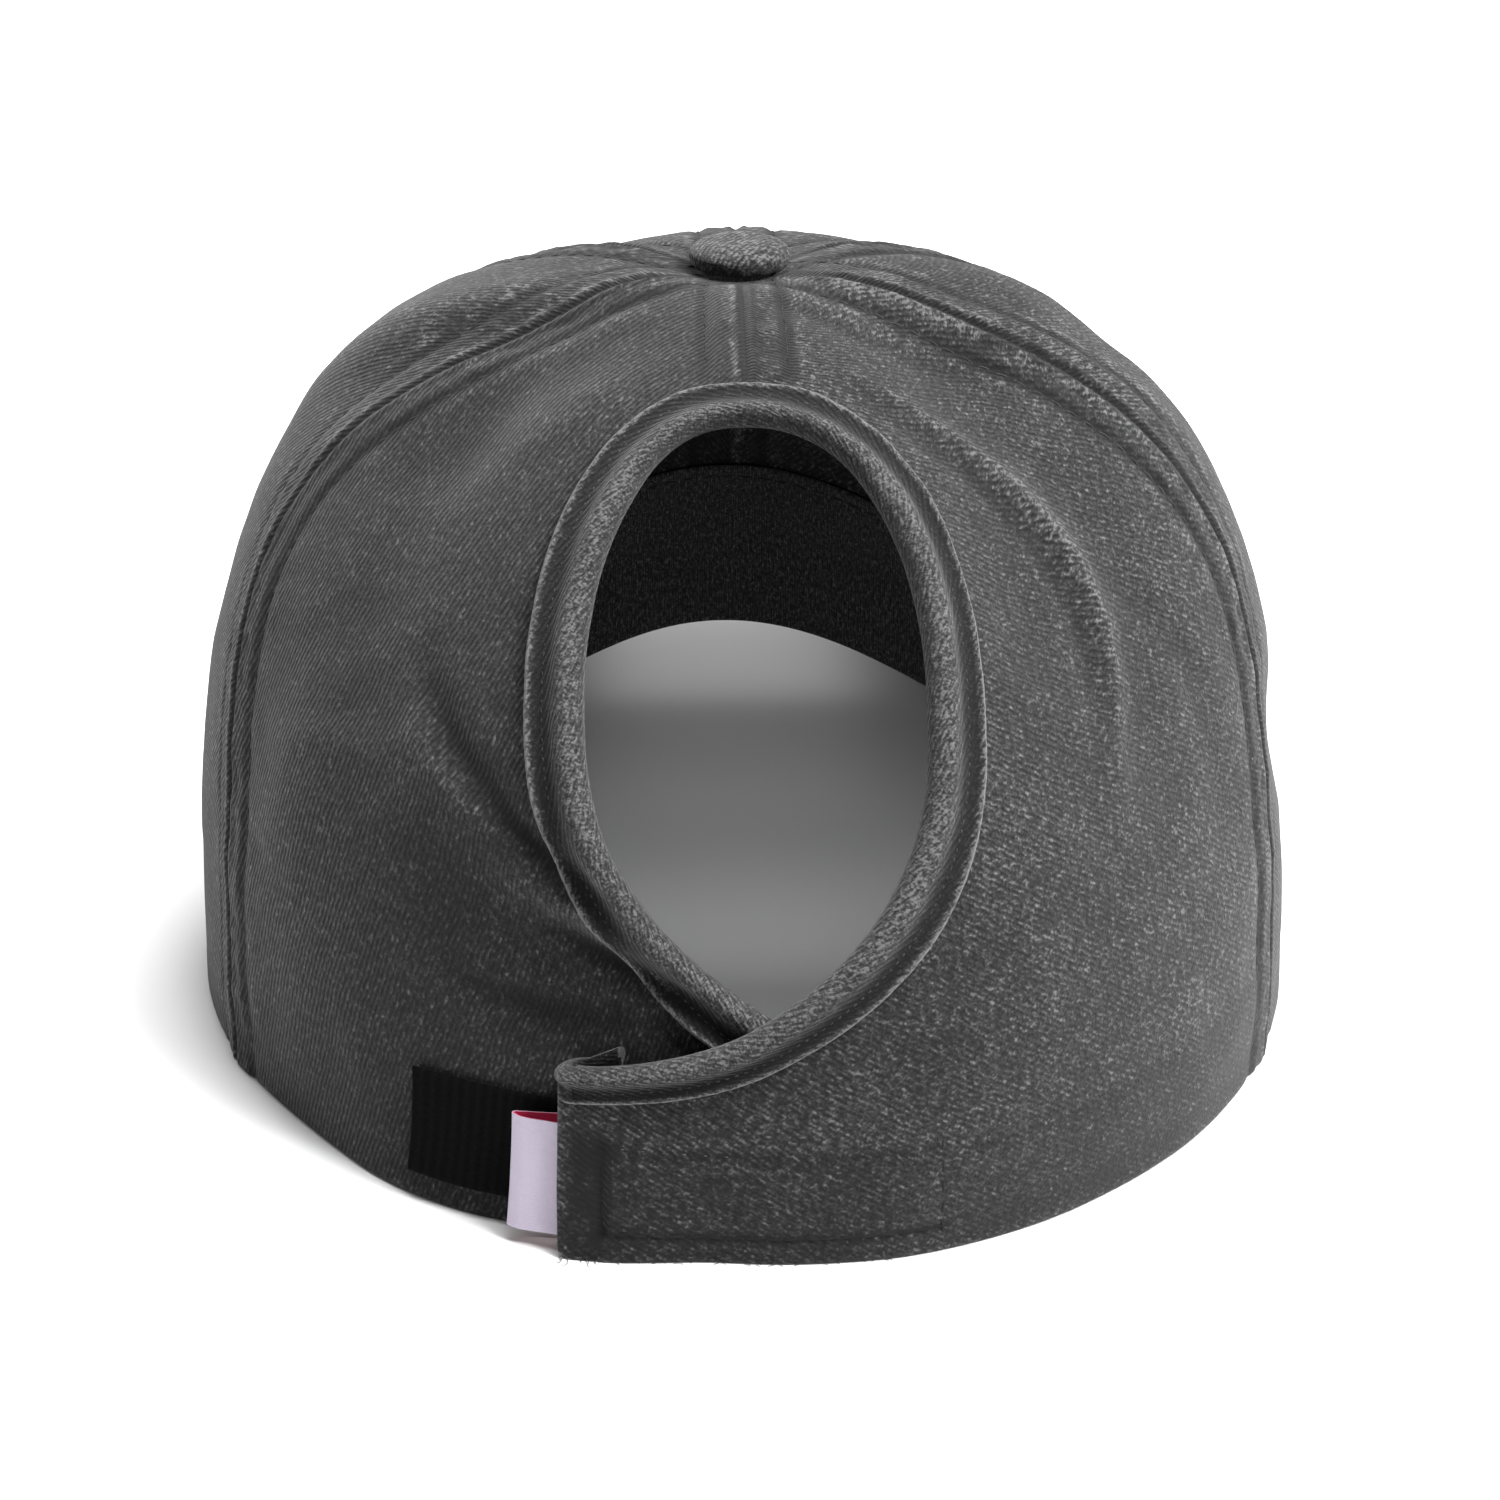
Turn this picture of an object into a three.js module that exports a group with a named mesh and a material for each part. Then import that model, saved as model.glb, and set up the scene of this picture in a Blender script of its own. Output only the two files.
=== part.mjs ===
// Ponytail baseball cap in washed cotton twill, seen best from behind.
// The visor points along -Y, the ponytail opening faces +Y and +Z is up.
// A turn is an angle in degrees from the middle of the back, positive to the wearer's right (-X).
// A rise runs from 0 at the rim to 1 at the top of the crown.
import * as THREE from 'three';

// Crown
const crownHalfWidth = 88;
const crownBackLength = 102.4;
const crownFrontLength = 92;
const crownOvalPower = 1.9;
const crownTwist = 7.7;
const crownHeight = 116.8;
const topForward = 10;
const clothThickness = 1.5;
const pieceGap = 0.3;
const panelTipShare = 0.96;

// Rim, which lies flat behind and lifts towards the visor
const frontLift = 9;
const liftStartTurn = 75;
const liftEndTurn = 128;
const archHeight = 17;
const visorHalfSpan = 70;

// Ponytail opening, measured at the edge of the cloth
const openingTopMargin = 8.4;
const openingTop = crownHeight - openingTopMargin;
const openingWidest = 76;
const openingTip = 33.3;
const openingHalfWidth = 27.6;
const openingTopPower = 2.12;
const openingTipPower = 2.6;

// Closing tabs below the opening
const tabTop = 26;
const tabReach = 28.4;
const hiddenTabReach = 25;
const tabEaseLength = 8;
const tabEaseSlope = 0.61;

// Binding round the opening
const flangeReach = 5.4;
const innerFlangeReach = 4.4;
const beadReach = 2.9;
const beadHeight = 1.9;
const beadWrap = 100;
const tapeThickness = 1.2;
const channelGap = 0.6;

// How far the wearer's left tab tucks in under the right one
const tuckSlack = 0.2;
const tuckDepth = clothThickness + 2 * beadHeight + 2 * pieceGap + tuckSlack;
const tuckStartReach = 60;
const tuckEndReach = 27;
const tuckStartHeight = 62;
const tuckEndHeight = 35;
const tabLift = 1;
const tabLiftStart = 2;

// Flare of the tabs at the rim, round the end of the upper one
const tabFlare = 4.5;
const flareStartReach = 4;
const flareFullReach = 30;
const flareFadeReach = 38;
const flareEndReach = 68;

// Hook and loop fastener
const fastenerThickness = 1;
const fastenerHem = 4.2;
const loopStartReach = 50.5;
const loopEndReach = 19;
const hookStartReach = 23;
const hookEndReach = 24;
const hookInset = 4;
const fastenerMargin = 0.5;
const fastenerGap = 0.6;

// Side tag, a folded ribbon caught in the end of the tab
const tagReach = 7;
const tagCaught = 4;
const tagHem = 2.2;
const tagMargin = 2;
const tagThickness = 0.7;
const tagOpening = 1.5;
const tagSlack = 0.2;
const tagRise = 1.4;

// Visor
const visorHalfWidth = 77.5;
const visorProjection = 68;
const visorThickness = 3.4;
const visorFrontDrop = 12;
const visorOutlinePower = 2.35;
const visorEndTaper = 5;
const visorTaperShare = 0.4;
const visorGap = 0.5;

// Sweatband
const bandHeight = 28;
const bandThickness = 1;
const bandGap = 0.6;
const bandEndMargin = 6;
const bandLift = 1;

// Button
const buttonRadius = 7.8;
const buttonHeight = 5.2;
const buttonBelly = 2.2;
const buttonUnderAngle = 60;
const shankRadius = 4.4;
const shankDepth = 2;
const dimpleDepth = 3.4;
const dimpleReach = 14;

// Folds
const foldWidth = 10;
const foldHeight = 1.6;
const foldEndShare = 0.04;
const foldFadePower = 0.6;

// How full the crown's profile is at each turn: 2 is an ellipse and more is boxier.
const fullness = [
  { turn: -180, power: 2.0 },
  { turn: -135, power: 2.12 },
  { turn: -90, power: 3.05 },
  { turn: -45, power: 2.35 },
  { turn: 0, power: 2.5 },
  { turn: 45, power: 2.02 },
  { turn: 90, power: 2.74 },
  { turn: 135, power: 2.23 },
  { turn: 180, power: 2.0 },
];

// Seams between the panels: the turn of each one as it climbs.
const seams = {
  backRight: [
    { rise: 0, turn: 62 },
    { rise: 0.2, turn: 67 },
    { rise: 0.4, turn: 75 },
    { rise: 0.6, turn: 72 },
    { rise: 0.8, turn: 63 },
    { rise: 1, turn: 58 },
  ],
  backLeft: [
    { rise: 0, turn: -64 },
    { rise: 0.2, turn: -67 },
    { rise: 0.42, turn: -74 },
    { rise: 0.6, turn: -68 },
    { rise: 0.8, turn: -57 },
    { rise: 1, turn: -52 },
  ],
  frontRight: [
    { rise: 0, turn: 126 },
    { rise: 0.5, turn: 121 },
    { rise: 1, turn: 112 },
  ],
  frontLeft: [
    { rise: 0, turn: -126 },
    { rise: 0.5, turn: -120 },
    { rise: 1, turn: -108 },
  ],
};

// Folds and dents: three places on the crown, then width and height as shares of foldWidth and foldHeight.
const folds = [
  { name: 'right crease', path: [[22, 0.74], [45, 0.55], [40, 0.36]], width: 0.62, height: 0.9 },
  { name: 'right hollow', path: [[30, 0.62], [34, 0.5], [31, 0.4]], width: 1.3, height: -1.0 },
  { name: 'right seam ridge', path: [[52, 0.86], [73, 0.66], [84, 0.46]], width: 0.5, height: 0.7 },
  { name: 'right seam hollow', path: [[40, 0.84], [62, 0.68], [68, 0.54]], width: 0.9, height: -0.8 },
  { name: 'right top dent', path: [[78, 0.64], [94, 0.58], [112, 0.52]], width: 1.1, height: -0.9 },
  { name: 'right side dent', path: [[72, 0.28], [84, 0.22], [96, 0.2]], width: 1.2, height: -1.4 },
  { name: 'left top ridge', path: [[-40, 0.88], [-72, 0.74], [-92, 0.52]], width: 0.7, height: 1.1 },
  { name: 'left seam hollow', path: [[-52, 0.82], [-66, 0.69], [-82, 0.5]], width: 0.7, height: -1.0 },
  { name: 'left shoulder hollow', path: [[-42, 0.7], [-50, 0.61], [-52, 0.52]], width: 1.1, height: -0.9 },
  { name: 'left opening ridge', path: [[-40, 0.6], [-34, 0.65], [-22, 0.7]], width: 0.7, height: 0.6 },
  { name: 'left lower crease', path: [[-36, 0.29], [-24, 0.255], [-12, 0.225]], width: 0.8, height: -0.9 },
  { name: 'left lower roll', path: [[-38, 0.33], [-27, 0.29], [-17, 0.265]], width: 0.8, height: 0.7 },
  { name: 'right cheek', path: [[80, 0.12], [88, 0.4], [84, 0.64]], width: 3.0, height: 0.9 },
  { name: 'left cheek', path: [[-84, 0.3], [-90, 0.45], [-84, 0.62]], width: 3.0, height: -0.5 },
  { name: 'left bulge', path: [[-58, 0.2], [-52, 0.26], [-46, 0.2]], width: 2.2, height: 0.8 },
];

// Stations along each edge
const sideColumns = 9;
const frontColumns = 10;
const backColumns = 12;
const edgeCrowding = 1.7;
const tabEndRows = 4;
const tabTopRows = 4;
const openingRows = 15;
const centreRows = 3;
const foldSteps = 8;
const bandColumns = 52;
const fastenerColumns = 14;
const visorColumns = 26;
const visorRows = 6;
const beadSteps = 6;
const slopeStep = 0.01;
const halvings = 40;
const tagBendSteps = 4;
const buttonSteps = 4;
const buttonSides = 20;

const radians = THREE.MathUtils.degToRad;
const degrees = THREE.MathUtils.radToDeg;
const lerp = THREE.MathUtils.lerp;

function ease(value, start, end) {
  const share = THREE.MathUtils.clamp((value - start) / (end - start), 0, 1);
  return share * share * (3 - 2 * share);
}

// Smooth value from a table whose rows are in order of their key.
function fromTable(rows, key, value, at) {
  let index = 0;
  while (index < rows.length - 2 && at > rows[index + 1][key]) index += 1;
  const low = rows[index];
  const high = rows[index + 1];
  return lerp(low[value], high[value], ease(at, low[key], high[key]));
}

// Seam turn at a rise, on a curve through all the rows of its table.
function seamTurn(rows, rise) {
  let index = 0;
  while (index < rows.length - 2 && rise > rows[index + 1].rise) index += 1;
  const at = (row) => rows[THREE.MathUtils.clamp(row, 0, rows.length - 1)];
  const slope = (row) => (at(row + 1).turn - at(row - 1).turn) / (at(row + 1).rise - at(row - 1).rise);
  const span = at(index + 1).rise - at(index).rise;
  const t = (rise - at(index).rise) / span;
  const start = at(index).turn * (2 * t ** 3 - 3 * t ** 2 + 1)
    + slope(index) * span * (t ** 3 - 2 * t ** 2 + t);
  const end = at(index + 1).turn * (3 * t ** 2 - 2 * t ** 3) + slope(index + 1) * span * (t ** 3 - t ** 2);
  return start + end;
}

// Radius of the rim's oval at a turn.
function rimRadius(turn) {
  const angle = radians(turn - crownTwist);
  const length = Math.cos(angle) > 0 ? crownBackLength : crownFrontLength;
  const across = Math.abs(Math.sin(angle) / crownHalfWidth) ** crownOvalPower;
  const along = Math.abs(Math.cos(angle) / length) ** crownOvalPower;
  return (across + along) ** (-1 / crownOvalPower);
}

// Height of the rim at a turn: flat behind, lifted at the front and arched over the visor.
function rimHeight(turn) {
  const lift = frontLift * ease(Math.abs(turn), liftStartTurn, liftEndTurn);
  const across = rimRadius(turn) * Math.sin(radians(turn));
  const isFront = Math.cos(radians(turn)) < 0;
  const share = THREE.MathUtils.clamp(across / visorHalfSpan, -1, 1);
  return lift + (isFront ? archHeight * Math.cos(share * Math.PI / 2) ** 2 : 0);
}

// The crown's smooth form, before folds.
function formPoint(turn, rise) {
  const power = fromTable(fullness, 'turn', 'power', turn > 180 ? turn - 360 : turn);
  const angle = radians(rise * 90);
  const scale = (Math.cos(angle) ** power + Math.sin(angle) ** power) ** (-1 / power);
  const reach = rimRadius(turn) * scale * Math.cos(angle);
  const up = scale * Math.sin(angle);
  return new THREE.Vector3(
    -reach * Math.sin(radians(turn)),
    reach * Math.cos(radians(turn)) - topForward * up * up,
    rimHeight(turn) * (1 - up) + crownHeight * up,
  );
}

function normalOf(surface, turn, rise) {
  const along = surface(turn + 1, rise).sub(surface(turn - 1, rise));
  const up = surface(turn, rise + slopeStep).sub(surface(turn, Math.max(rise - slopeStep, 0)));
  return along.cross(up).normalize();
}

// Turn and rise of the place on the back of the crown that lies at this reach and height.
function placeOnBack(reach, height) {
  const up = height / crownHeight;
  let low = -90;
  let high = 90;
  for (let step = 0; step < halvings; step += 1) {
    const turn = (low + high) / 2;
    const power = fromTable(fullness, 'turn', 'power', turn);
    const out = rimRadius(turn) * (1 - up ** power) ** (1 / power) * Math.sin(radians(turn));
    if (out < reach) low = turn;
    else high = turn;
  }
  const turn = (low + high) / 2;
  const power = fromTable(fullness, 'turn', 'power', turn);
  return { turn, rise: degrees(Math.atan2(up, (1 - up ** power) ** (1 / power))) / 90 };
}

function foldLine(path) {
  const [start, middle, end] = path;
  const line = [];
  for (let step = 0; step <= foldSteps; step += 1) {
    const t = step / foldSteps;
    const weight = [(1 - t) ** 2, 2 * t * (1 - t), t ** 2];
    const control = [0, 1].map((axis) => 2 * middle[axis] - (start[axis] + end[axis]) / 2);
    const blend = (axis) => weight[0] * start[axis] + weight[1] * control[axis] + weight[2] * end[axis];
    const place = [blend(0), blend(1)];
    line.push(formPoint(place[0], place[1]));
  }
  return line;
}

const foldLines = folds.map((fold) => ({ ...fold, line: foldLine(fold.path) }));
const crownTop = formPoint(0, 1);

// Depth of the dimple that the button presses into the crown, at a distance from the crown's top.
function dimpleAt(distance) {
  return dimpleDepth * Math.exp(-((distance / dimpleReach) ** 2));
}

// Height of all the folds and of the button's dimple at a point of the smooth form.
function foldRelief(point) {
  let relief = -dimpleAt(point.distanceTo(crownTop));
  for (const fold of foldLines) {
    let best = Infinity;
    let along = 0;
    for (let step = 0; step < foldSteps; step += 1) {
      const segment = new THREE.Line3(fold.line[step], fold.line[step + 1]);
      const share = segment.closestPointToPointParameter(point, true);
      const distance = segment.at(share, new THREE.Vector3()).distanceTo(point);
      if (distance < best) {
        best = distance;
        along = (step + share) / foldSteps;
      }
    }
    const kept = THREE.MathUtils.clamp(along, foldEndShare, 1 - foldEndShare);
    const fade = Math.sin(Math.PI * kept) ** foldFadePower;
    relief += foldHeight * fold.height * fade * Math.exp(-((best / (foldWidth * fold.width)) ** 2));
  }
  return relief;
}

// How far a layer of cloth stands out of the crown's form: the right tab lifts and the left one tucks in.
function layerOffset(layer, point) {
  const reach = -point.x;
  const nearRim = 1 - ease(point.z, tuckEndHeight, tuckStartHeight);
  if (layer === 'plain') return 0;
  const flare = tabFlare * flareShare(reach, point.z);
  if (layer === 'under') return flare - tuckDepth * ease(reach, -tuckStartReach, -tuckEndReach) * nearRim;
  const low = 1 - ease(point.z, tabTop, tuckStartHeight);
  return flare + tabLift * ease(-reach, tabLiftStart, tabReach) * low;
}

// Share of the tabs' flare at a reach and a height, 1 at the rim under the upper tab's end.
function flareShare(reach, height) {
  const fade = 1 - ease(-reach, flareFadeReach, flareEndReach);
  const across = ease(-reach, flareStartReach, flareFullReach) * fade;
  return across * Math.max(1 - height / tabTop, 0) ** 2;
}

// Outer face of a layer of cloth, with its folds.
function clothPoint(layer, turn, rise) {
  const point = formPoint(turn, rise);
  const height = foldRelief(point) + layerOffset(layer, point);
  return point.addScaledVector(normalOf(formPoint, turn, rise), height);
}

// Point at a depth below the outer face, negative outside it. At the rim it keeps the rim's height.
function depthPoint(layer, turn, rise, depth) {
  const point = clothPoint(layer, turn, rise);
  const normal = normalOf((a, b) => clothPoint(layer, a, b), turn, rise);
  if (rise <= 0) {
    point.z = rimHeight(turn);
    normal.setZ(0).normalize();
  }
  return point.addScaledVector(normal, -depth);
}

// Closed sheet between two grids of points of the same size.
function sheet(rows, columns, front, back) {
  const positions = [];
  const index = [];
  const count = (rows + 1) * (columns + 1);
  for (const face of [front, back]) {
    for (let row = 0; row <= rows; row += 1) {
      for (let column = 0; column <= columns; column += 1) positions.push(...face(row, column).toArray());
    }
  }
  const at = (row, column) => row * (columns + 1) + column;
  const quad = (a, b, c, d) => index.push(a, b, c, a, c, d);
  for (let row = 0; row < rows; row += 1) {
    for (let column = 0; column < columns; column += 1) {
      const [a, b] = [at(row, column), at(row, column + 1)];
      const [c, d] = [at(row + 1, column + 1), at(row + 1, column)];
      quad(a, b, c, d);
      quad(a + count, d + count, c + count, b + count);
    }
    quad(at(row, 0), at(row + 1, 0), at(row + 1, 0) + count, at(row, 0) + count);
    quad(at(row + 1, columns), at(row, columns), at(row, columns) + count, at(row + 1, columns) + count);
  }
  for (let column = 0; column < columns; column += 1) {
    quad(at(0, column + 1), at(0, column), at(0, column) + count, at(0, column + 1) + count);
    quad(at(rows, column), at(rows, column + 1), at(rows, column + 1) + count, at(rows, column) + count);
  }
  return solid(positions, index);
}

// Closed rod through a list of sections, each with a point for every corner of the outline.
function rod(outline, sections) {
  const sides = outline.length;
  const positions = sections.flatMap((section) => section.flatMap((point) => point.toArray()));
  const index = [];
  for (let station = 0; station < sections.length - 1; station += 1) {
    for (let side = 0; side < sides; side += 1) {
      const a = station * sides + side;
      const b = station * sides + (side + 1) % sides;
      index.push(a, b, b + sides, a, b + sides, a + sides);
    }
  }
  const flat = outline.map((corner) => new THREE.Vector2(corner.out, corner.over));
  const turning = Math.sign(THREE.ShapeUtils.area(flat));
  const last = (sections.length - 1) * sides;
  for (const triangle of THREE.ShapeUtils.triangulateShape(flat, [])) {
    const isAlike = Math.sign(THREE.ShapeUtils.area(triangle.map((place) => flat[place]))) === turning;
    const [a, b, c] = isAlike ? triangle : [...triangle].reverse();
    index.push(a, c, b, last + a, last + b, last + c);
  }
  return solid(positions, index);
}

// Geometry with its faces pointing out.
function solid(positions, index) {
  const geometry = new THREE.BufferGeometry();
  geometry.setAttribute('position', new THREE.Float32BufferAttribute(positions, 3));
  const corner = (place) => new THREE.Vector3().fromArray(positions, index[place] * 3);
  let volume = 0;
  for (let place = 0; place < index.length; place += 3) {
    volume += corner(place).dot(corner(place + 1).cross(corner(place + 2)));
  }
  geometry.setIndex(volume < 0 ? index.slice().reverse() : index);
  geometry.computeVertexNormals();
  return geometry;
}

// Turn that moves a point on the crown sideways by this distance.
function turnFor(turn, rise, distance) {
  const step = formPoint(turn + 1, rise).distanceTo(formPoint(turn - 1, rise)) / 2;
  return distance / step;
}

// Edge of the cloth round one half of the opening, as places from the tab's end to the top of the crown.
// side is 1 for the wearer's right half and -1 for the left one.
function clothEdge(side, reach) {
  const places = [];
  const onBack = (out, height) => places.push(placeOnBack(side * out, height));
  for (let row = 0; row < tabEndRows; row += 1) onBack(-reach, tabTop * row / tabEndRows);
  const bend = { out: -tabEaseLength, height: openingTip - tabEaseLength * tabEaseSlope };
  for (let row = 0; row < tabTopRows; row += 1) {
    const t = 1 - row / tabTopRows;
    onBack(2 * t * (1 - t) * bend.out - t * t * reach,
      (1 - t) ** 2 * openingTip + 2 * t * (1 - t) * bend.height + t * t * tabTop);
  }
  for (let row = 0; row < openingRows; row += 1) onBack(...openingEdge(row / openingRows));
  const top = placeOnBack(0, openingTop);
  const gapAt = (rise) => turnFor(0, rise, side * pieceGap / 2);
  for (let row = 0; row <= centreRows; row += 1) {
    const rise = lerp(top.rise, panelTipShare, row / centreRows);
    places.push({ turn: gapAt(rise), rise });
  }
  return places;
}

// Reach and height of the opening's cloth edge, from its tip at 0 to its top at 1.
function openingEdge(share) {
  const lower = (openingWidest - openingTip) / (openingTop - openingTip);
  if (share < lower) {
    const t = 1 - share / lower;
    return [openingHalfWidth * (1 - t ** openingTipPower), openingWidest - (openingWidest - openingTip) * t];
  }
  const angle = (share - lower) / (1 - lower) * Math.PI / 2;
  const across = Math.max(Math.cos(angle), 0) ** (2 / openingTopPower);
  const up = Math.sin(angle) ** (2 / openingTopPower);
  return [openingHalfWidth * across, openingWidest + (openingTop - openingWidest) * up];
}

// Rises along the side seam that go with the stations of a cloth edge, by the length run along it.
function seamRises(edge) {
  const points = edge.map((place) => formPoint(place.turn, place.rise));
  const run = [0];
  for (let row = 1; row < points.length; row += 1) {
    run.push(run[row - 1] + points[row].distanceTo(points[row - 1]));
  }
  return run.map((length) => panelTipShare * length / run[run.length - 1]);
}

// Outer and inner faces of a panel whose place function gives the turn and rise of each row and column.
function panel(layer, rows, columns, place) {
  return sheet(rows, columns,
    (row, column) => depthPoint(layer, ...place(row, column), 0),
    (row, column) => depthPoint(layer, ...place(row, column), clothThickness));
}

// Back panel with its half of the opening and its closing tab.
function backPanel(side, layer, seam, reach) {
  const edge = clothEdge(side, reach);
  const rises = seamRises(edge);
  return panel(layer, edge.length - 1, backColumns, (row, column) => {
    const share = 1 - (1 - column / backColumns) ** edgeCrowding;
    const turn = seamTurn(seam, rises[row]);
    const start = turn - turnFor(turn, rises[row], side * pieceGap / 2);
    return [lerp(start, edge[row].turn, share), lerp(rises[row], edge[row].rise, share)];
  });
}

// Panel between two seams, given in order of their turn, with the rows of the back panel on its side.
function panelBetween(lowSeam, highSeam, columns, side, reach) {
  const rises = seamRises(clothEdge(side, reach));
  return panel('plain', rises.length - 1, columns, (row, column) => {
    const rise = rises[row];
    const low = lowSeam(rise) + turnFor(lowSeam(rise), rise, pieceGap / 2);
    const high = highSeam(rise) - turnFor(highSeam(rise), rise, pieceGap / 2);
    return [lerp(low, high, column / columns), rise];
  });
}

// Section of the binding: out runs into the opening from the edge of the cloth, over runs away from the head.
function sectionOutline() {
  const inside = -clothThickness - channelGap;
  const middle = -clothThickness / 2;
  const outline = [
    { out: -flangeReach, over: channelGap },
    { out: -flangeReach, over: channelGap + tapeThickness },
    { out: -flangeReach / 2, over: channelGap + tapeThickness / 2 },
  ];
  for (let step = 0; step < beadSteps; step += 1) {
    const angle = radians(lerp(beadWrap, -beadWrap, step / (beadSteps - 1)));
    const over = middle + (beadHeight - middle) * Math.sin(angle);
    outline.push({ out: beadReach * Math.cos(angle), over });
  }
  outline.push(
    { out: -innerFlangeReach, over: inside - tapeThickness },
    { out: -innerFlangeReach, over: inside },
    { out: -innerFlangeReach / 2, over: inside },
    { out: pieceGap, over: inside },
    { out: pieceGap, over: channelGap },
    { out: -flangeReach / 2, over: channelGap },
  );
  return outline;
}

// Binding tape, one piece from the right tab's end round the opening to the hidden tab's end.
function openingBinding() {
  const halfEdge = (side, reach, layer) => {
    const firstOnTape = tabEndRows;
    const lastOnTape = tabEndRows + tabTopRows + openingRows;
    return clothEdge(side, reach).slice(firstOnTape, lastOnTape).map((place) => ({ ...place, layer }));
  };
  const top = { ...placeOnBack(0, openingTop), layer: 'over' };
  const right = halfEdge(1, tabReach, 'over');
  const left = halfEdge(-1, hiddenTabReach, 'under');
  const path = [...right, top, ...left.reverse()];
  const outline = sectionOutline();
  const sections = path.map((place, station) => {
    const before = path[Math.max(station - 1, 0)];
    const after = path[Math.min(station + 1, path.length - 1)];
    const tangent = formPoint(after.turn, after.rise).sub(formPoint(before.turn, before.rise));
    const normal = normalOf(formPoint, place.turn, place.rise);
    const inward = normal.cross(tangent).normalize();
    return outline.map((corner) => {
      const spot = stepOnCrown(place, inward, corner.out);
      return depthPoint(place.layer, spot.turn, spot.rise, -corner.over);
    });
  });
  return rod(outline, sections);
}

// Place reached from another one by a step across the crown.
function stepOnCrown(place, direction, distance) {
  const before = formPoint(place.turn - 1, place.rise);
  const perTurn = formPoint(place.turn + 1, place.rise).sub(before).divideScalar(2);
  const below = formPoint(place.turn, place.rise - slopeStep);
  const perRise = formPoint(place.turn, place.rise + slopeStep).sub(below);
  perRise.divideScalar(2 * slopeStep);
  const [aa, ab, bb] = [perTurn.dot(perTurn), perTurn.dot(perRise), perRise.dot(perRise)];
  const [da, db] = [direction.dot(perTurn) * distance, direction.dot(perRise) * distance];
  const determinant = aa * bb - ab * ab;
  return {
    turn: place.turn + (da * bb - db * ab) / determinant,
    rise: place.rise + (db * aa - da * ab) / determinant,
  };
}

// Patch of the fastener between two reaches and two heights, at a depth below a layer's outer face.
function fastener(layer, reaches, heights, depth) {
  const place = (row, column) => {
    const reach = lerp(reaches[0], reaches[1], column / fastenerColumns);
    const spot = placeOnBack(reach, lerp(heights[0], heights[1], row / 2));
    return [layer, spot.turn, spot.rise];
  };
  return sheet(2, fastenerColumns,
    (row, column) => depthPoint(...place(row, column), depth),
    (row, column) => depthPoint(...place(row, column), depth + fastenerThickness));
}

function loopPatch() {
  const top = tabTop - flangeReach - fastenerMargin;
  return fastener('under', [-loopStartReach, loopEndReach], [fastenerHem, top],
    -fastenerGap - fastenerThickness);
}

function hookPatch() {
  const top = tabTop - innerFlangeReach - hookInset - fastenerMargin;
  return fastener('over', [-hookStartReach, hookEndReach], [fastenerHem, top], clothThickness + fastenerGap);
}

// Ribbon folded back on itself, with both ends caught under the end of the right tab.
function sideTag() {
  const top = tabTop - flangeReach - tagMargin;
  const fold = -tabReach - tagReach + tagOpening / 2 + tagThickness;
  const caught = -tabReach + tagCaught;
  const ribbon = (half) => {
    const path = [{ reach: caught, depth: -half }];
    for (let step = 0; step <= tagBendSteps; step += 1) {
      const angle = Math.PI * (step / tagBendSteps - 0.5);
      path.push({ reach: fold - half * Math.cos(angle), depth: half * Math.sin(angle) });
    }
    path.push({ reach: caught, depth: half });
    return path;
  };
  const face = (half) => (row, column) => {
    const spot = ribbon(half)[column];
    const place = placeOnBack(spot.reach, lerp(tagHem, top, row / 2));
    const rise = tagRise * ease(-spot.reach, tabReach, tabReach + tagReach);
    return depthPoint('over', place.turn, place.rise, tagDepth() + spot.depth - rise);
  };
  return sheet(2, tagBendSteps + 2, face(tagOpening / 2 + tagThickness), face(tagOpening / 2));
}

// Depth of the middle of the tag below the right tab's outer face.
function tagDepth() {
  return clothThickness + pieceGap + tagSlack + tagThickness + tagOpening / 2;
}

// Visor: its inner edge lies under the front of the rim and its sides come down to the rim's own level.
function visor() {
  const endTurn = degrees(Math.asin(visorHalfSpan / crownHalfWidth));
  const inner = (share) => {
    const turn = 180 - endTurn * share;
    const rim = depthPoint('plain', turn, 0, clothThickness);
    rim.z = rimHeight(turn) - visorGap - visorThickness;
    return rim;
  };
  const corner = inner(1);
  const outer = (share) => {
    const angle = Math.abs(share) * Math.PI / 2;
    const depth = Math.max(Math.cos(angle), 0) ** (2 / visorOutlinePower);
    const taper = visorEndTaper * (1 - ease(depth, 0, visorTaperShare));
    const across = Math.sign(share) * (visorHalfWidth * Math.sin(angle) ** (2 / visorOutlinePower) - taper);
    const length = visorProjection + crownFrontLength + corner.y;
    const centre = frontLift + archHeight - visorGap - visorThickness - visorFrontDrop;
    const restingAt = visorHalfWidth - visorEndTaper / 2;
    const height = centre * Math.max(0, 1 - (across / restingAt) ** 2);
    return new THREE.Vector3(-across, corner.y - length * depth, height);
  };
  const under = (row, column) => {
    const share = 2 * column / visorColumns - 1;
    const out = row / visorRows;
    return inner(share).lerp(outer(share), out);
  };
  const over = (row, column) => {
    const kept = (value, most) => THREE.MathUtils.clamp(value, 0, most);
    const near = (a, b) => under(kept(a, visorRows), kept(b, visorColumns));
    const along = near(row, column + 1).sub(near(row, column - 1));
    const out = near(row + 1, column).sub(near(row - 1, column));
    const normal = along.cross(out).normalize();
    if (normal.z < 0) normal.negate();
    if (row === 0) normal.set(0, 0, 1);
    return under(row, column).addScaledVector(normal, visorThickness);
  };
  return sheet(visorRows, visorColumns, over, under);
}

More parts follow.
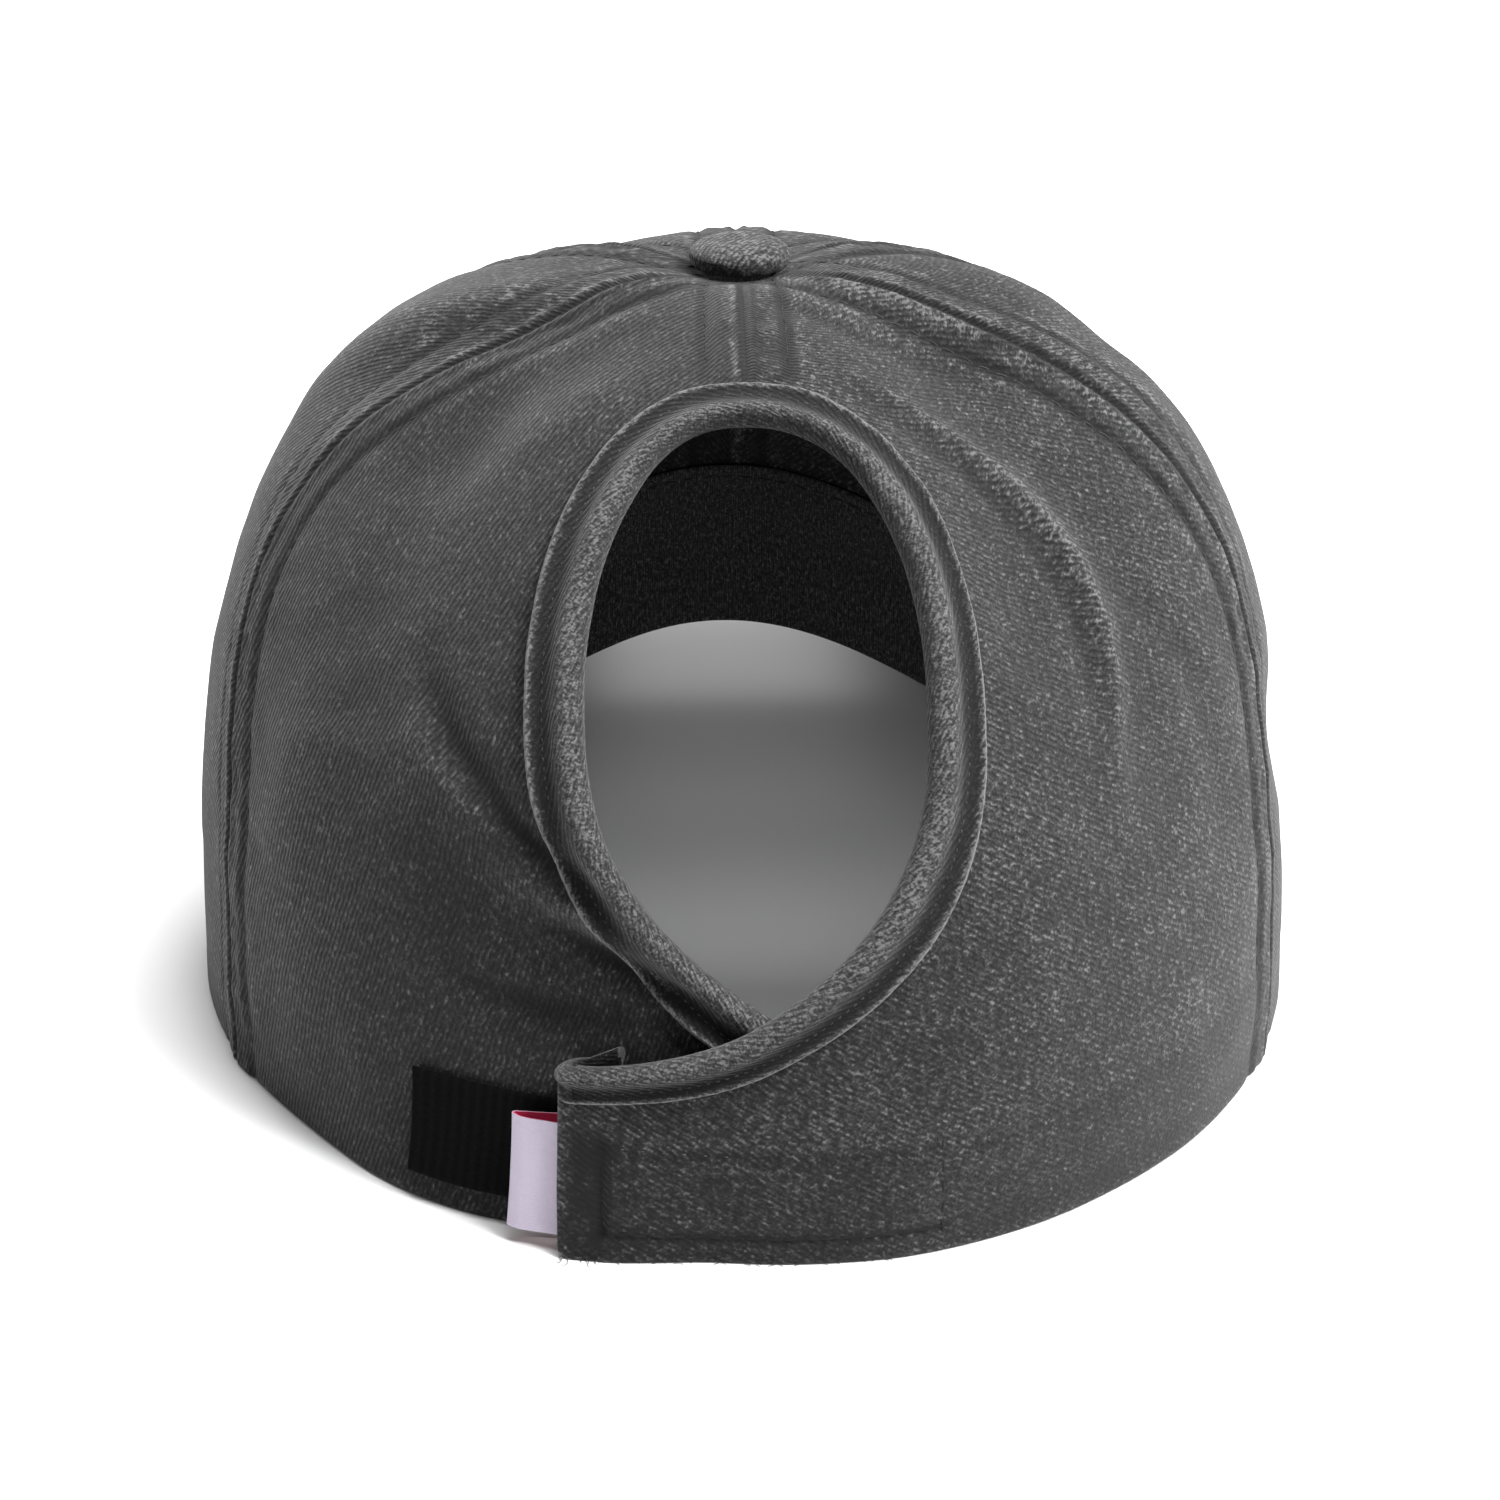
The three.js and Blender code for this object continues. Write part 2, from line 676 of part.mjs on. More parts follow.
// Sweatband inside the rim, open at the back.
function sweatband() {
  const start = placeOnBack(hiddenTabReach + bandEndMargin, 0).turn;
  const end = 360 + placeOnBack(-tuckStartReach - bandEndMargin, 0).turn;
  const place = (row, column) => {
    const turn = lerp(start, end, column / bandColumns);
    const folded = turn > 180 ? turn - 360 : turn;
    const perRise = formPoint(folded, slopeStep).distanceTo(formPoint(folded, 0)) / slopeStep;
    return ['plain', folded, (bandLift + bandHeight * row / 2) / perRise];
  };
  const depth = clothThickness + bandGap;
  return sheet(2, bandColumns,
    (row, column) => depthPoint(...place(row, column), depth),
    (row, column) => depthPoint(...place(row, column), depth + bandThickness));
}

// Covered button over the point where the panels meet.
function topButton() {
  const profile = [[0, -shankDepth], [shankRadius, -shankDepth], [shankRadius, 0]];
  for (let step = 0; step < buttonSteps; step += 1) {
    const angle = radians(lerp(-buttonUnderAngle, 0, step / buttonSteps));
    const up = 1 + Math.sin(angle) / Math.sin(radians(buttonUnderAngle));
    profile.push([buttonRadius * Math.sqrt(Math.cos(angle)), buttonBelly * up]);
  }
  for (let step = 0; step < buttonSteps; step += 1) {
    const angle = radians(lerp(0, 90, step / buttonSteps));
    const up = lerp(buttonBelly, buttonHeight, Math.sin(angle));
    profile.push([buttonRadius * Math.sqrt(Math.cos(angle)), up]);
  }
  profile.push([0, buttonHeight]);
  const outline = profile.map(([out, up]) => new THREE.Vector2(out, up));
  const geometry = new THREE.LatheGeometry(outline, buttonSides);
  return geometry.rotateX(Math.PI / 2);
}

function cloth(name, geometry, finish) {
  const mesh = new THREE.Mesh(geometry, new THREE.MeshStandardMaterial(finish));
  mesh.name = name;
  return mesh;
}

const twill = { color: 0x4a4a4b, roughness: 0.95, metalness: 0 };
const blackTape = { color: 0x0c0c0d, roughness: 0.9, metalness: 0 };
const darkBand = { color: 0x262627, roughness: 0.95, metalness: 0 };
const ribbon = { color: 0xd9cfe0, roughness: 0.6, metalness: 0 };

const seamAt = (name) => (rise) => seamTurn(seams[name], rise);
const cap = new THREE.Group();
cap.name = 'ponytail_cap';
cap.add(cloth('back_panel_right', backPanel(1, 'over', seams.backRight, tabReach), twill));
cap.add(cloth('back_panel_left', backPanel(-1, 'under', seams.backLeft, hiddenTabReach), twill));
const sidePanel = (low, high, side, reach) => (
  panelBetween(seamAt(low), seamAt(high), sideColumns, side, reach)
);
const frontPanel = (low, high, side, reach) => panelBetween(low, high, frontColumns, side, reach);
cap.add(cloth('side_panel_right', sidePanel('backRight', 'frontRight', 1, tabReach), twill));
cap.add(cloth('side_panel_left', sidePanel('frontLeft', 'backLeft', -1, hiddenTabReach), twill));
cap.add(cloth('front_panel_right', frontPanel(seamAt('frontRight'), () => 180, 1, tabReach), twill));
cap.add(cloth('front_panel_left', frontPanel(() => -180, seamAt('frontLeft'), -1, hiddenTabReach), twill));
cap.add(cloth('opening_binding', openingBinding(), twill));
cap.add(cloth('loop_patch', loopPatch(), blackTape));
cap.add(cloth('hook_patch', hookPatch(), blackTape));
cap.add(cloth('side_tag', sideTag(), ribbon));
cap.add(cloth('visor', visor(), twill));
cap.add(cloth('sweatband', sweatband(), darkBand));

const button = cloth('top_button', topButton(), twill);
button.position.set(0, -topForward, crownHeight + pieceGap - dimpleAt(buttonRadius));
cap.add(button);

// The origin is under the middle of the whole cap, on the surface that it rests on.
const box = new THREE.Box3().setFromObject(cap);
const middle = box.getCenter(new THREE.Vector3());
cap.position.set(-middle.x, -middle.y, -box.min.z);

export default cap;
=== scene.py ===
"""Washed cotton ponytail cap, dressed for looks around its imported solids.

Sizes in the classes are millimetres in the cap's own frame: the visor points along -Y, the
ponytail opening faces +Y and +Z is up. A turn is an angle in degrees from the middle of the
back, positive to the wearer's right (-X). A rise runs from 0 at the rim to 1 at the top.
Meshes are metres in the row frame.
"""

from __future__ import annotations

import logging
import math
from dataclasses import dataclass, field
from enum import Enum
from functools import cached_property, partial
from typing import Callable, Sequence

import bpy
import numpy as np
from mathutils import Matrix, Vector


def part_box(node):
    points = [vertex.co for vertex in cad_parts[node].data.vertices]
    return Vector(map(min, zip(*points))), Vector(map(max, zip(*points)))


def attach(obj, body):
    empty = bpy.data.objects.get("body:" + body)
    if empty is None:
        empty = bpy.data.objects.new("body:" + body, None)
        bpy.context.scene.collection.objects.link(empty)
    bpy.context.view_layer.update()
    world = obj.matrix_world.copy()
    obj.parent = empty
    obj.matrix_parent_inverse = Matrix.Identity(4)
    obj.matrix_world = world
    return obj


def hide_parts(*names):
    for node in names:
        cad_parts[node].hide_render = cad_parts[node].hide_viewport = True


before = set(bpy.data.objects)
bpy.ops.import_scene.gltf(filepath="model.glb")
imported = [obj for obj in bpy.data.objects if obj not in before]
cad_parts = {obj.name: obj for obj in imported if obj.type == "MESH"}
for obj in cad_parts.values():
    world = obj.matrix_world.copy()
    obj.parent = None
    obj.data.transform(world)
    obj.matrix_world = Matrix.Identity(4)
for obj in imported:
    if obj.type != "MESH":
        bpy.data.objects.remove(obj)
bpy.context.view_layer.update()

Array = np.ndarray
LOG = logging.getLogger("cap")
METRE = 0.001
ROOT = "root"


class Layer(Enum):
    """Where a layer of cloth lies: on the crown's form, lifted over it, or tucked in."""

    PLAIN = "plain"
    OVER = "over"
    UNDER = "under"


class Side(Enum):
    """The wearer's two sides."""

    RIGHT = 1
    LEFT = -1


def ease(value: Array | float, start: float, end: float) -> Array:
    """Smooth step of a value between two ends.

    Args:
        value: Values to ease.
        start: Value at which the result is 0.
        end: Value at which the result is 1.

    Returns:
        Shares from 0 to 1.
    """
    share = np.clip((np.asarray(value, float) - start) / (end - start), 0.0, 1.0)
    return share * share * (3.0 - 2.0 * share)


def bell(distance: Array, width: float) -> Array:
    """A soft hump of height 1 that fades over a width."""
    return np.exp(-((distance / width) ** 2))


def mix(low: Array | float, high: Array | float, share: Array | float) -> Array:
    """Value at a share of the way from low to high."""
    return low + (high - low) * share


def unit(vectors: Array) -> Array:
    """Vectors scaled to length 1."""
    return vectors / np.maximum(np.linalg.norm(vectors, axis=-1, keepdims=True), 1e-12)


def run_along(line: Array) -> Array:
    """Length along a line up to each of its points."""
    return np.concatenate(([0], np.cumsum(np.linalg.norm(np.diff(line, axis=0), axis=-1))))


def round_off(distance: Array, radius: float) -> Array:
    """How far a rounded edge falls away: 1 at the edge and 0 from a radius inside it."""
    share = 1 - np.clip(distance, 0, radius) / radius
    return 1 - np.sqrt(np.maximum(1 - share**2, 0))


def whole_turn(turn: Array) -> Array:
    """Turns past the middle of the front, counted from the other side."""
    return np.where(turn > 180, turn - 360, turn)


def ring_faces(stations: int, sides: int) -> tuple[Array, Array, Array]:
    """Numbers of the points on rings, of their neighbours, and the faces between the rings."""
    at = np.arange(stations * sides).reshape(stations, sides)
    near = np.roll(at, -1, axis=1)
    return at, near, np.stack((at[:-1], near[:-1], near[1:], at[1:]), axis=-1).reshape(-1, 4)


@dataclass(frozen=True)
class Rumple:
    """Seeded smooth noise in space, for cloth that is never quite even."""

    seed: int
    cells: int = 32

    @cached_property
    def lattice(self) -> Array:
        """Random values from -1 to 1 on a repeating lattice."""
        return np.random.default_rng(self.seed).uniform(-1, 1, (self.cells,) * 3)

    def at(self, points: Array, scale: float | Sequence[float]) -> Array:
        """Noise at points.

        Args:
            points: Places, with three coordinates last.
            scale: Size of a cell, one for all axes or one for each.

        Returns:
            Values from -1 to 1.
        """
        place = points / np.asarray(scale, float)
        low = np.floor(place).astype(int)
        part = place - low
        part = part * part * (3.0 - 2.0 * part)
        total = np.zeros(points.shape[:-1])
        for corner in np.ndindex(2, 2, 2):
            index = (low + corner) % self.cells
            weight = np.prod(np.where(np.array(corner) == 1, part, 1.0 - part), axis=-1)
            total += weight * self.lattice[index[..., 0], index[..., 1], index[..., 2]]
        return total


@dataclass(frozen=True)
class CrownForm:
    """The crown's smooth form, before folds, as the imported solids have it."""

    half_width: float = 88.0
    back_length: float = 102.4
    front_length: float = 92.0
    oval_power: float = 1.9
    twist: float = 7.7
    height: float = 116.8
    top_forward: float = 10.0
    front_lift: float = 9.0
    lift_turns: tuple[float, float] = (75.0, 128.0)
    arch_height: float = 17.0
    visor_half_span: float = 70.0
    fullness_turns: tuple[float, ...] = (-180, -135, -90, -45, 0, 45, 90, 135, 180)
    fullness: tuple[float, ...] = (2.0, 2.12, 3.05, 2.35, 2.5, 2.02, 2.74, 2.23, 2.0)
    slope_step: float = 0.01
    halvings: int = 40

    def power(self, turn: Array) -> Array:
        """How full the profile is at a turn: 2 is an ellipse and more is boxier."""
        keys = np.array(self.fullness_turns, float)
        values = np.array(self.fullness)
        turn = np.where(turn > 180, turn - 360, np.where(turn < -180, turn + 360, turn))
        low = np.clip(np.searchsorted(keys, turn, side="left") - 1, 0, len(keys) - 2)
        share = (turn - keys[low]) / (keys[low + 1] - keys[low])
        return mix(values[low], values[low + 1], ease(share, 0, 1))

    def rim_radius(self, turn: Array) -> Array:
        """Radius of the rim's oval at a turn."""
        angle = np.radians(turn - self.twist)
        length = np.where(np.cos(angle) > 0, self.back_length, self.front_length)
        across = np.abs(np.sin(angle) / self.half_width) ** self.oval_power
        along = np.abs(np.cos(angle) / length) ** self.oval_power
        return (across + along) ** (-1 / self.oval_power)

    def rim_height(self, turn: Array) -> Array:
        """Height of the rim: flat behind, lifted in front and arched over the visor."""
        lift = self.front_lift * ease(np.abs(turn), *self.lift_turns)
        across = self.rim_radius(turn) * np.sin(np.radians(turn))
        share = np.clip(across / self.visor_half_span, -1, 1)
        arch = self.arch_height * np.cos(share * math.pi / 2) ** 2
        return lift + np.where(np.cos(np.radians(turn)) < 0, arch, 0.0)

    def point(self, turn: Array, rise: Array) -> Array:
        """Points of the form at turns and rises."""
        turn, rise = np.broadcast_arrays(np.asarray(turn, float), np.asarray(rise, float))
        power = self.power(turn)
        angle = np.radians(rise * 90)
        run, climb = np.maximum(np.cos(angle), 0), np.maximum(np.sin(angle), 0)
        scale = (run**power + climb**power) ** (-1 / power)
        reach, up = self.rim_radius(turn) * scale * run, scale * climb
        return np.stack(
            (
                -reach * np.sin(np.radians(turn)),
                reach * np.cos(np.radians(turn)) - self.top_forward * up * up,
                self.rim_height(turn) * (1 - up) + self.height * up,
            ),
            axis=-1,
        )

    def normal(self, turn: Array, rise: Array) -> Array:
        """Outward directions of the form."""
        along = self.point(turn + 1, rise) - self.point(turn - 1, rise)
        low = np.maximum(rise - self.slope_step, 0)
        up = self.point(turn, rise + self.slope_step) - self.point(turn, low)
        return unit(np.cross(along, up))

    def per_degree(self, turn: Array, rise: Array) -> Array:
        """Millimetres along the cloth for each degree of turn."""
        step = self.point(turn + 1, rise) - self.point(turn - 1, rise)
        return np.maximum(np.linalg.norm(step, axis=-1) / 2, 1e-4)

    def place_on_back(self, reach: Array, height: Array) -> tuple[Array, Array]:
        """Turn and rise of the places on the back at these reaches and heights."""
        reach, height = np.broadcast_arrays(np.asarray(reach, float), np.asarray(height, float))
        up = height / self.height
        low, high = np.full(reach.shape, -90.0), np.full(reach.shape, 90.0)
        for _ in range(self.halvings):
            turn = (low + high) / 2
            power = self.power(turn)
            out = self.rim_radius(turn) * (1 - up**power) ** (1 / power)
            short = out * np.sin(np.radians(turn)) < reach
            low, high = np.where(short, turn, low), np.where(short, high, turn)
        turn = (low + high) / 2
        power = self.power(turn)
        rise = np.degrees(np.arctan2(up, (1 - up**power) ** (1 / power))) / 90
        return turn, rise

    @cached_property
    def climb_table(self) -> tuple[Array, Array, Array]:
        """Length of cloth from the rim, on a grid of turns and rises."""
        turns, rises = np.linspace(-180, 180, 121), np.linspace(0, 1, 121)
        points = self.point(turns[:, None], rises[None, :])
        steps = np.linalg.norm(np.diff(points, axis=1), axis=-1)
        return turns, rises, np.concatenate((np.zeros((121, 1)), np.cumsum(steps, 1)), 1)

    def climb(self, turn: Array, rise: Array) -> Array:
        """Length of cloth from the rim up to each place."""
        turns, rises, lengths = self.climb_table
        across = np.clip((turn + 180) / (turns[1] - turns[0]), 0, len(turns) - 1.001)
        along = np.clip(rise / (rises[1] - rises[0]), 0, len(rises) - 1.001)
        i, j = across.astype(int), along.astype(int)
        u, v = across - i, along - j
        low = mix(lengths[i, j], lengths[i + 1, j], u)
        return mix(low, mix(lengths[i, j + 1], lengths[i + 1, j + 1], u), v)


@dataclass(frozen=True)
class Seam:
    """A seam between two panels: its turn as it climbs."""

    rises: tuple[float, ...]
    turns: tuple[float, ...]
    lowest: float = 0.0
    crisp: float = 0.35

    def turn(self, rise: Array) -> Array:
        """Turn of the seam at a rise, on a curve through all its rows."""
        rises, turns = np.array(self.rises), np.array(self.turns, float)
        if len(rises) == 1:
            return np.full(np.shape(rise), turns[0])
        low = np.clip(np.searchsorted(rises, rise, side="left") - 1, 0, len(rises) - 2)
        last = len(rises) - 1

        def slope(row: Array) -> Array:
            after, before = np.clip(row + 1, 0, last), np.clip(row - 1, 0, last)
            return (turns[after] - turns[before]) / (rises[after] - rises[before])

        span = rises[low + 1] - rises[low]
        t = (rise - rises[low]) / span
        start = turns[low] * (2 * t**3 - 3 * t**2 + 1) + slope(low) * span * (t**3 - 2 * t**2 + t)
        return start + turns[low + 1] * (3 * t**2 - 2 * t**3) + slope(low + 1) * span * (t**3 - t**2)


BACK_RIGHT = Seam((0, 0.2, 0.4, 0.6, 0.8, 1), (62, 67, 75, 72, 63, 58))
BACK_LEFT = Seam((0, 0.2, 0.42, 0.6, 0.8, 1), (-64, -67, -74, -68, -57, -52))
FRONT_RIGHT = Seam((0, 0.5, 1), (126, 121, 112))
FRONT_LEFT = Seam((0, 0.5, 1), (-126, -120, -108))
CENTRE_BACK = Seam((0,), (0,), lowest=110.2, crisp=1.0)
CENTRE_FRONT_RIGHT = Seam((0,), (180,))
CENTRE_FRONT_LEFT = Seam((0,), (-180,))


@dataclass(frozen=True)
class Fold:
    """A fold or dent through three places on the crown, its width and height in millimetres, and how strongly
    its ridge is painted paler, as worn, or its crease darker, as painted shade.
    """

    name: str
    path: tuple[tuple[float, float], tuple[float, float], tuple[float, float]]
    width: float
    height: float
    wear: float = 0.35


FOLDS: tuple[Fold, ...] = (
    Fold("right crease", ((22, 0.74), (45, 0.55), (40, 0.36)), 6.2, 1.45, 0.5),
    Fold("right hollow", ((30, 0.62), (34, 0.5), (31, 0.4)), 13.0, -1.6, 0.25),
    Fold("right seam ridge", ((52, 0.86), (73, 0.66), (84, 0.46)), 5.0, 1.1, 0.5),
    Fold("right seam hollow", ((40, 0.84), (62, 0.68), (68, 0.54)), 9.0, -1.3, 0.35),
    Fold("right top dent", ((78, 0.64), (94, 0.58), (112, 0.52)), 11.0, -1.45, 0.2),
    Fold("right cheek", ((80, 0.12), (88, 0.4), (84, 0.64)), 30.0, 1.45, 0.0),
    Fold("left cheek", ((-84, 0.3), (-90, 0.45), (-84, 0.62)), 30.0, -0.8, 0.0),
    Fold("right side dent", ((72, 0.28), (84, 0.22), (96, 0.2)), 12.0, -2.2, 0.2),
    Fold("left top ridge", ((-40, 0.88), (-72, 0.74), (-92, 0.52)), 7.0, 1.8, 0.5),
    Fold("left seam hollow", ((-52, 0.82), (-66, 0.69), (-82, 0.5)), 7.0, -1.6, 0.3),
    Fold("left shoulder hollow", ((-42, 0.7), (-50, 0.61), (-52, 0.52)), 11.0, -1.45, 0.3),
    Fold("left opening ridge", ((-40, 0.6), (-34, 0.65), (-22, 0.7)), 7.0, 0.95, 0.3),
    Fold("left lower crease", ((-36, 0.29), (-24, 0.255), (-12, 0.225)), 8.0, -1.45, 0.3),
    Fold("left lower roll", ((-38, 0.33), (-27, 0.29), (-17, 0.265)), 8.0, 1.1, 0.3),
    Fold("left bulge", ((-58, 0.2), (-52, 0.26), (-46, 0.2)), 22.0, 1.3, 0.1),
    Fold("right crease edge", ((24, 0.73), (46, 0.54), (40, 0.33)), 2.0, 0.9, 0.9),
    Fold("right crease shade", ((21, 0.71), (42, 0.53), (36.5, 0.34)), 3.0, -0.9, 0.9),
    Fold("right top crease", ((8, 0.91), (30, 0.86), (56, 0.73)), 3.0, 0.55, 0.45),
    Fold("right top valley", ((10, 0.88), (30, 0.82), (54, 0.7)), 4.0, -0.5, 0.3),
    Fold("right cheek crease", ((50, 0.5), (58, 0.36), (55, 0.22)), 4.5, -0.5, 0.3),
    Fold("left deep crease", ((-19, 0.25), (-11, 0.222), (-4, 0.198)), 2.0, -2.2, 2.4),
    Fold("left deep roll", ((-24, 0.285), (-15, 0.255), (-8, 0.235)), 2.2, 1.1, 1.0),
    Fold("left middle crease", ((-26, 0.33), (-18, 0.298), (-12.5, 0.268)), 2.2, -1.5, 1.9),
    Fold("left far crease", ((-38, 0.42), (-30, 0.36), (-22, 0.325)), 2.6, -1.5, 1.6),
    Fold("left far roll", ((-40, 0.385), (-31, 0.335), (-22, 0.3)), 2.8, 0.9, 0.9),
    Fold("left low crease", ((-30, 0.195), (-20, 0.18), (-10, 0.185)), 3.0, -1.0, 1.1),
    Fold("left lifted edge", ((-60, 0.3), (-50, 0.33), (-38, 0.34)), 3.2, 0.5, 0.4),
    Fold("left shoulder crease", ((-30, 0.83), (-48, 0.74), (-62, 0.6)), 3.5, 0.6, 0.4),
    Fold("left cheek hollow", ((-66, 0.4), (-64, 0.28), (-58, 0.16)), 9.0, -0.9, 0.3),
)


@dataclass(frozen=True)
class SeamFinish:
    """How a seam stands: allowances inside, a closing line and a stitch row on each side."""

    row: float = 6.2
    swell: float = 0.42
    valley: float = 0.55
    valley_width: float = 0.55
    lip: float = 1.25
    lip_height: float = 0.28
    lip_width: float = 0.6
    groove: float = 0.55
    groove_width: float = 1.1
    pucker: float = 0.42
    pucker_length: float = 4.2
    lip_wear: tuple[float, float] = (0.9, 0.6)
    # Darkening of the closing line and of the stitch rows: painted shade in their grooves.
    line_shade: tuple[float, float] = (0.2, 5.0)
    row_shade: tuple[float, float] = (1.0, 2.5)
    soft_valley: float = 0.3

    def shape(self, across: Array, pucker: Array, crisp: float) -> tuple[Array, Array]:
        """Height and tone beside a seam; each pair of tone weights is for a soft and a crisp seam.

        Args:
            across: Millimetres from the seam, positive to the wearer's right.
            pucker: Noise from -1 to 1 that runs along the seam.
            crisp: How sharply its closing line shows, from 0 to 1.

        Returns:
            Height in millimetres, and tone from -1, dark, to 1, pale, with painted shade in the closing line
            and the stitch grooves.
        """
        distance = np.abs(across)
        height = self.swell * (1 - ease(distance, self.row - 0.6, self.row + 2.2))
        height = height - self.valley * mix(self.soft_valley, 1, crisp) * bell(distance, self.valley_width)
        height = height + self.lip_height * bell(distance - self.lip, self.lip_width) * (1 + pucker)
        height = height - self.groove * (1 + 0.4 * pucker) * bell(distance - self.row, self.groove_width)
        reach = bell(distance, self.row * 1.5)
        height = height + self.pucker * pucker * reach * ease(distance, 0.5, 3)
        # Tone: the lip paler, as worn; the closing line and stitch rows darker, painted shade in their
        # grooves; painted light on one side of the line and painted shade on the other; puckers paler where
        # raised and darker where sunk, as painted shading.
        wear = mix(*self.lip_wear, crisp) * bell(distance - self.lip, 0.8) * (0.6 + 1.0 * pucker)
        wear = wear - mix(*self.line_shade, crisp) * (1 + 0.6 * pucker) * bell(distance, 0.8)
        wear = wear + crisp * (1 + pucker) * (1.2 * bell(across + 1.8, 0.7) - 1.3 * bell(across - 1.2, 0.9))
        wear = wear - mix(*self.row_shade, crisp) * (1.2 + 1.6 * pucker) * bell(distance - self.row, 1.1)
        wear = wear + 0.9 * bell(distance - self.row - 2.2, 1.0) * (0.4 + 1.2 * pucker)
        return height, wear + 0.9 * pucker * reach


@dataclass(frozen=True)
class Wrinkle:
    """Small unevenness of one size, its height in millimetres, and how much paler its raised parts and darker
    its low parts are painted, as worn paleness and painted shade.
    """

    scale: float
    height: float
    wear: float


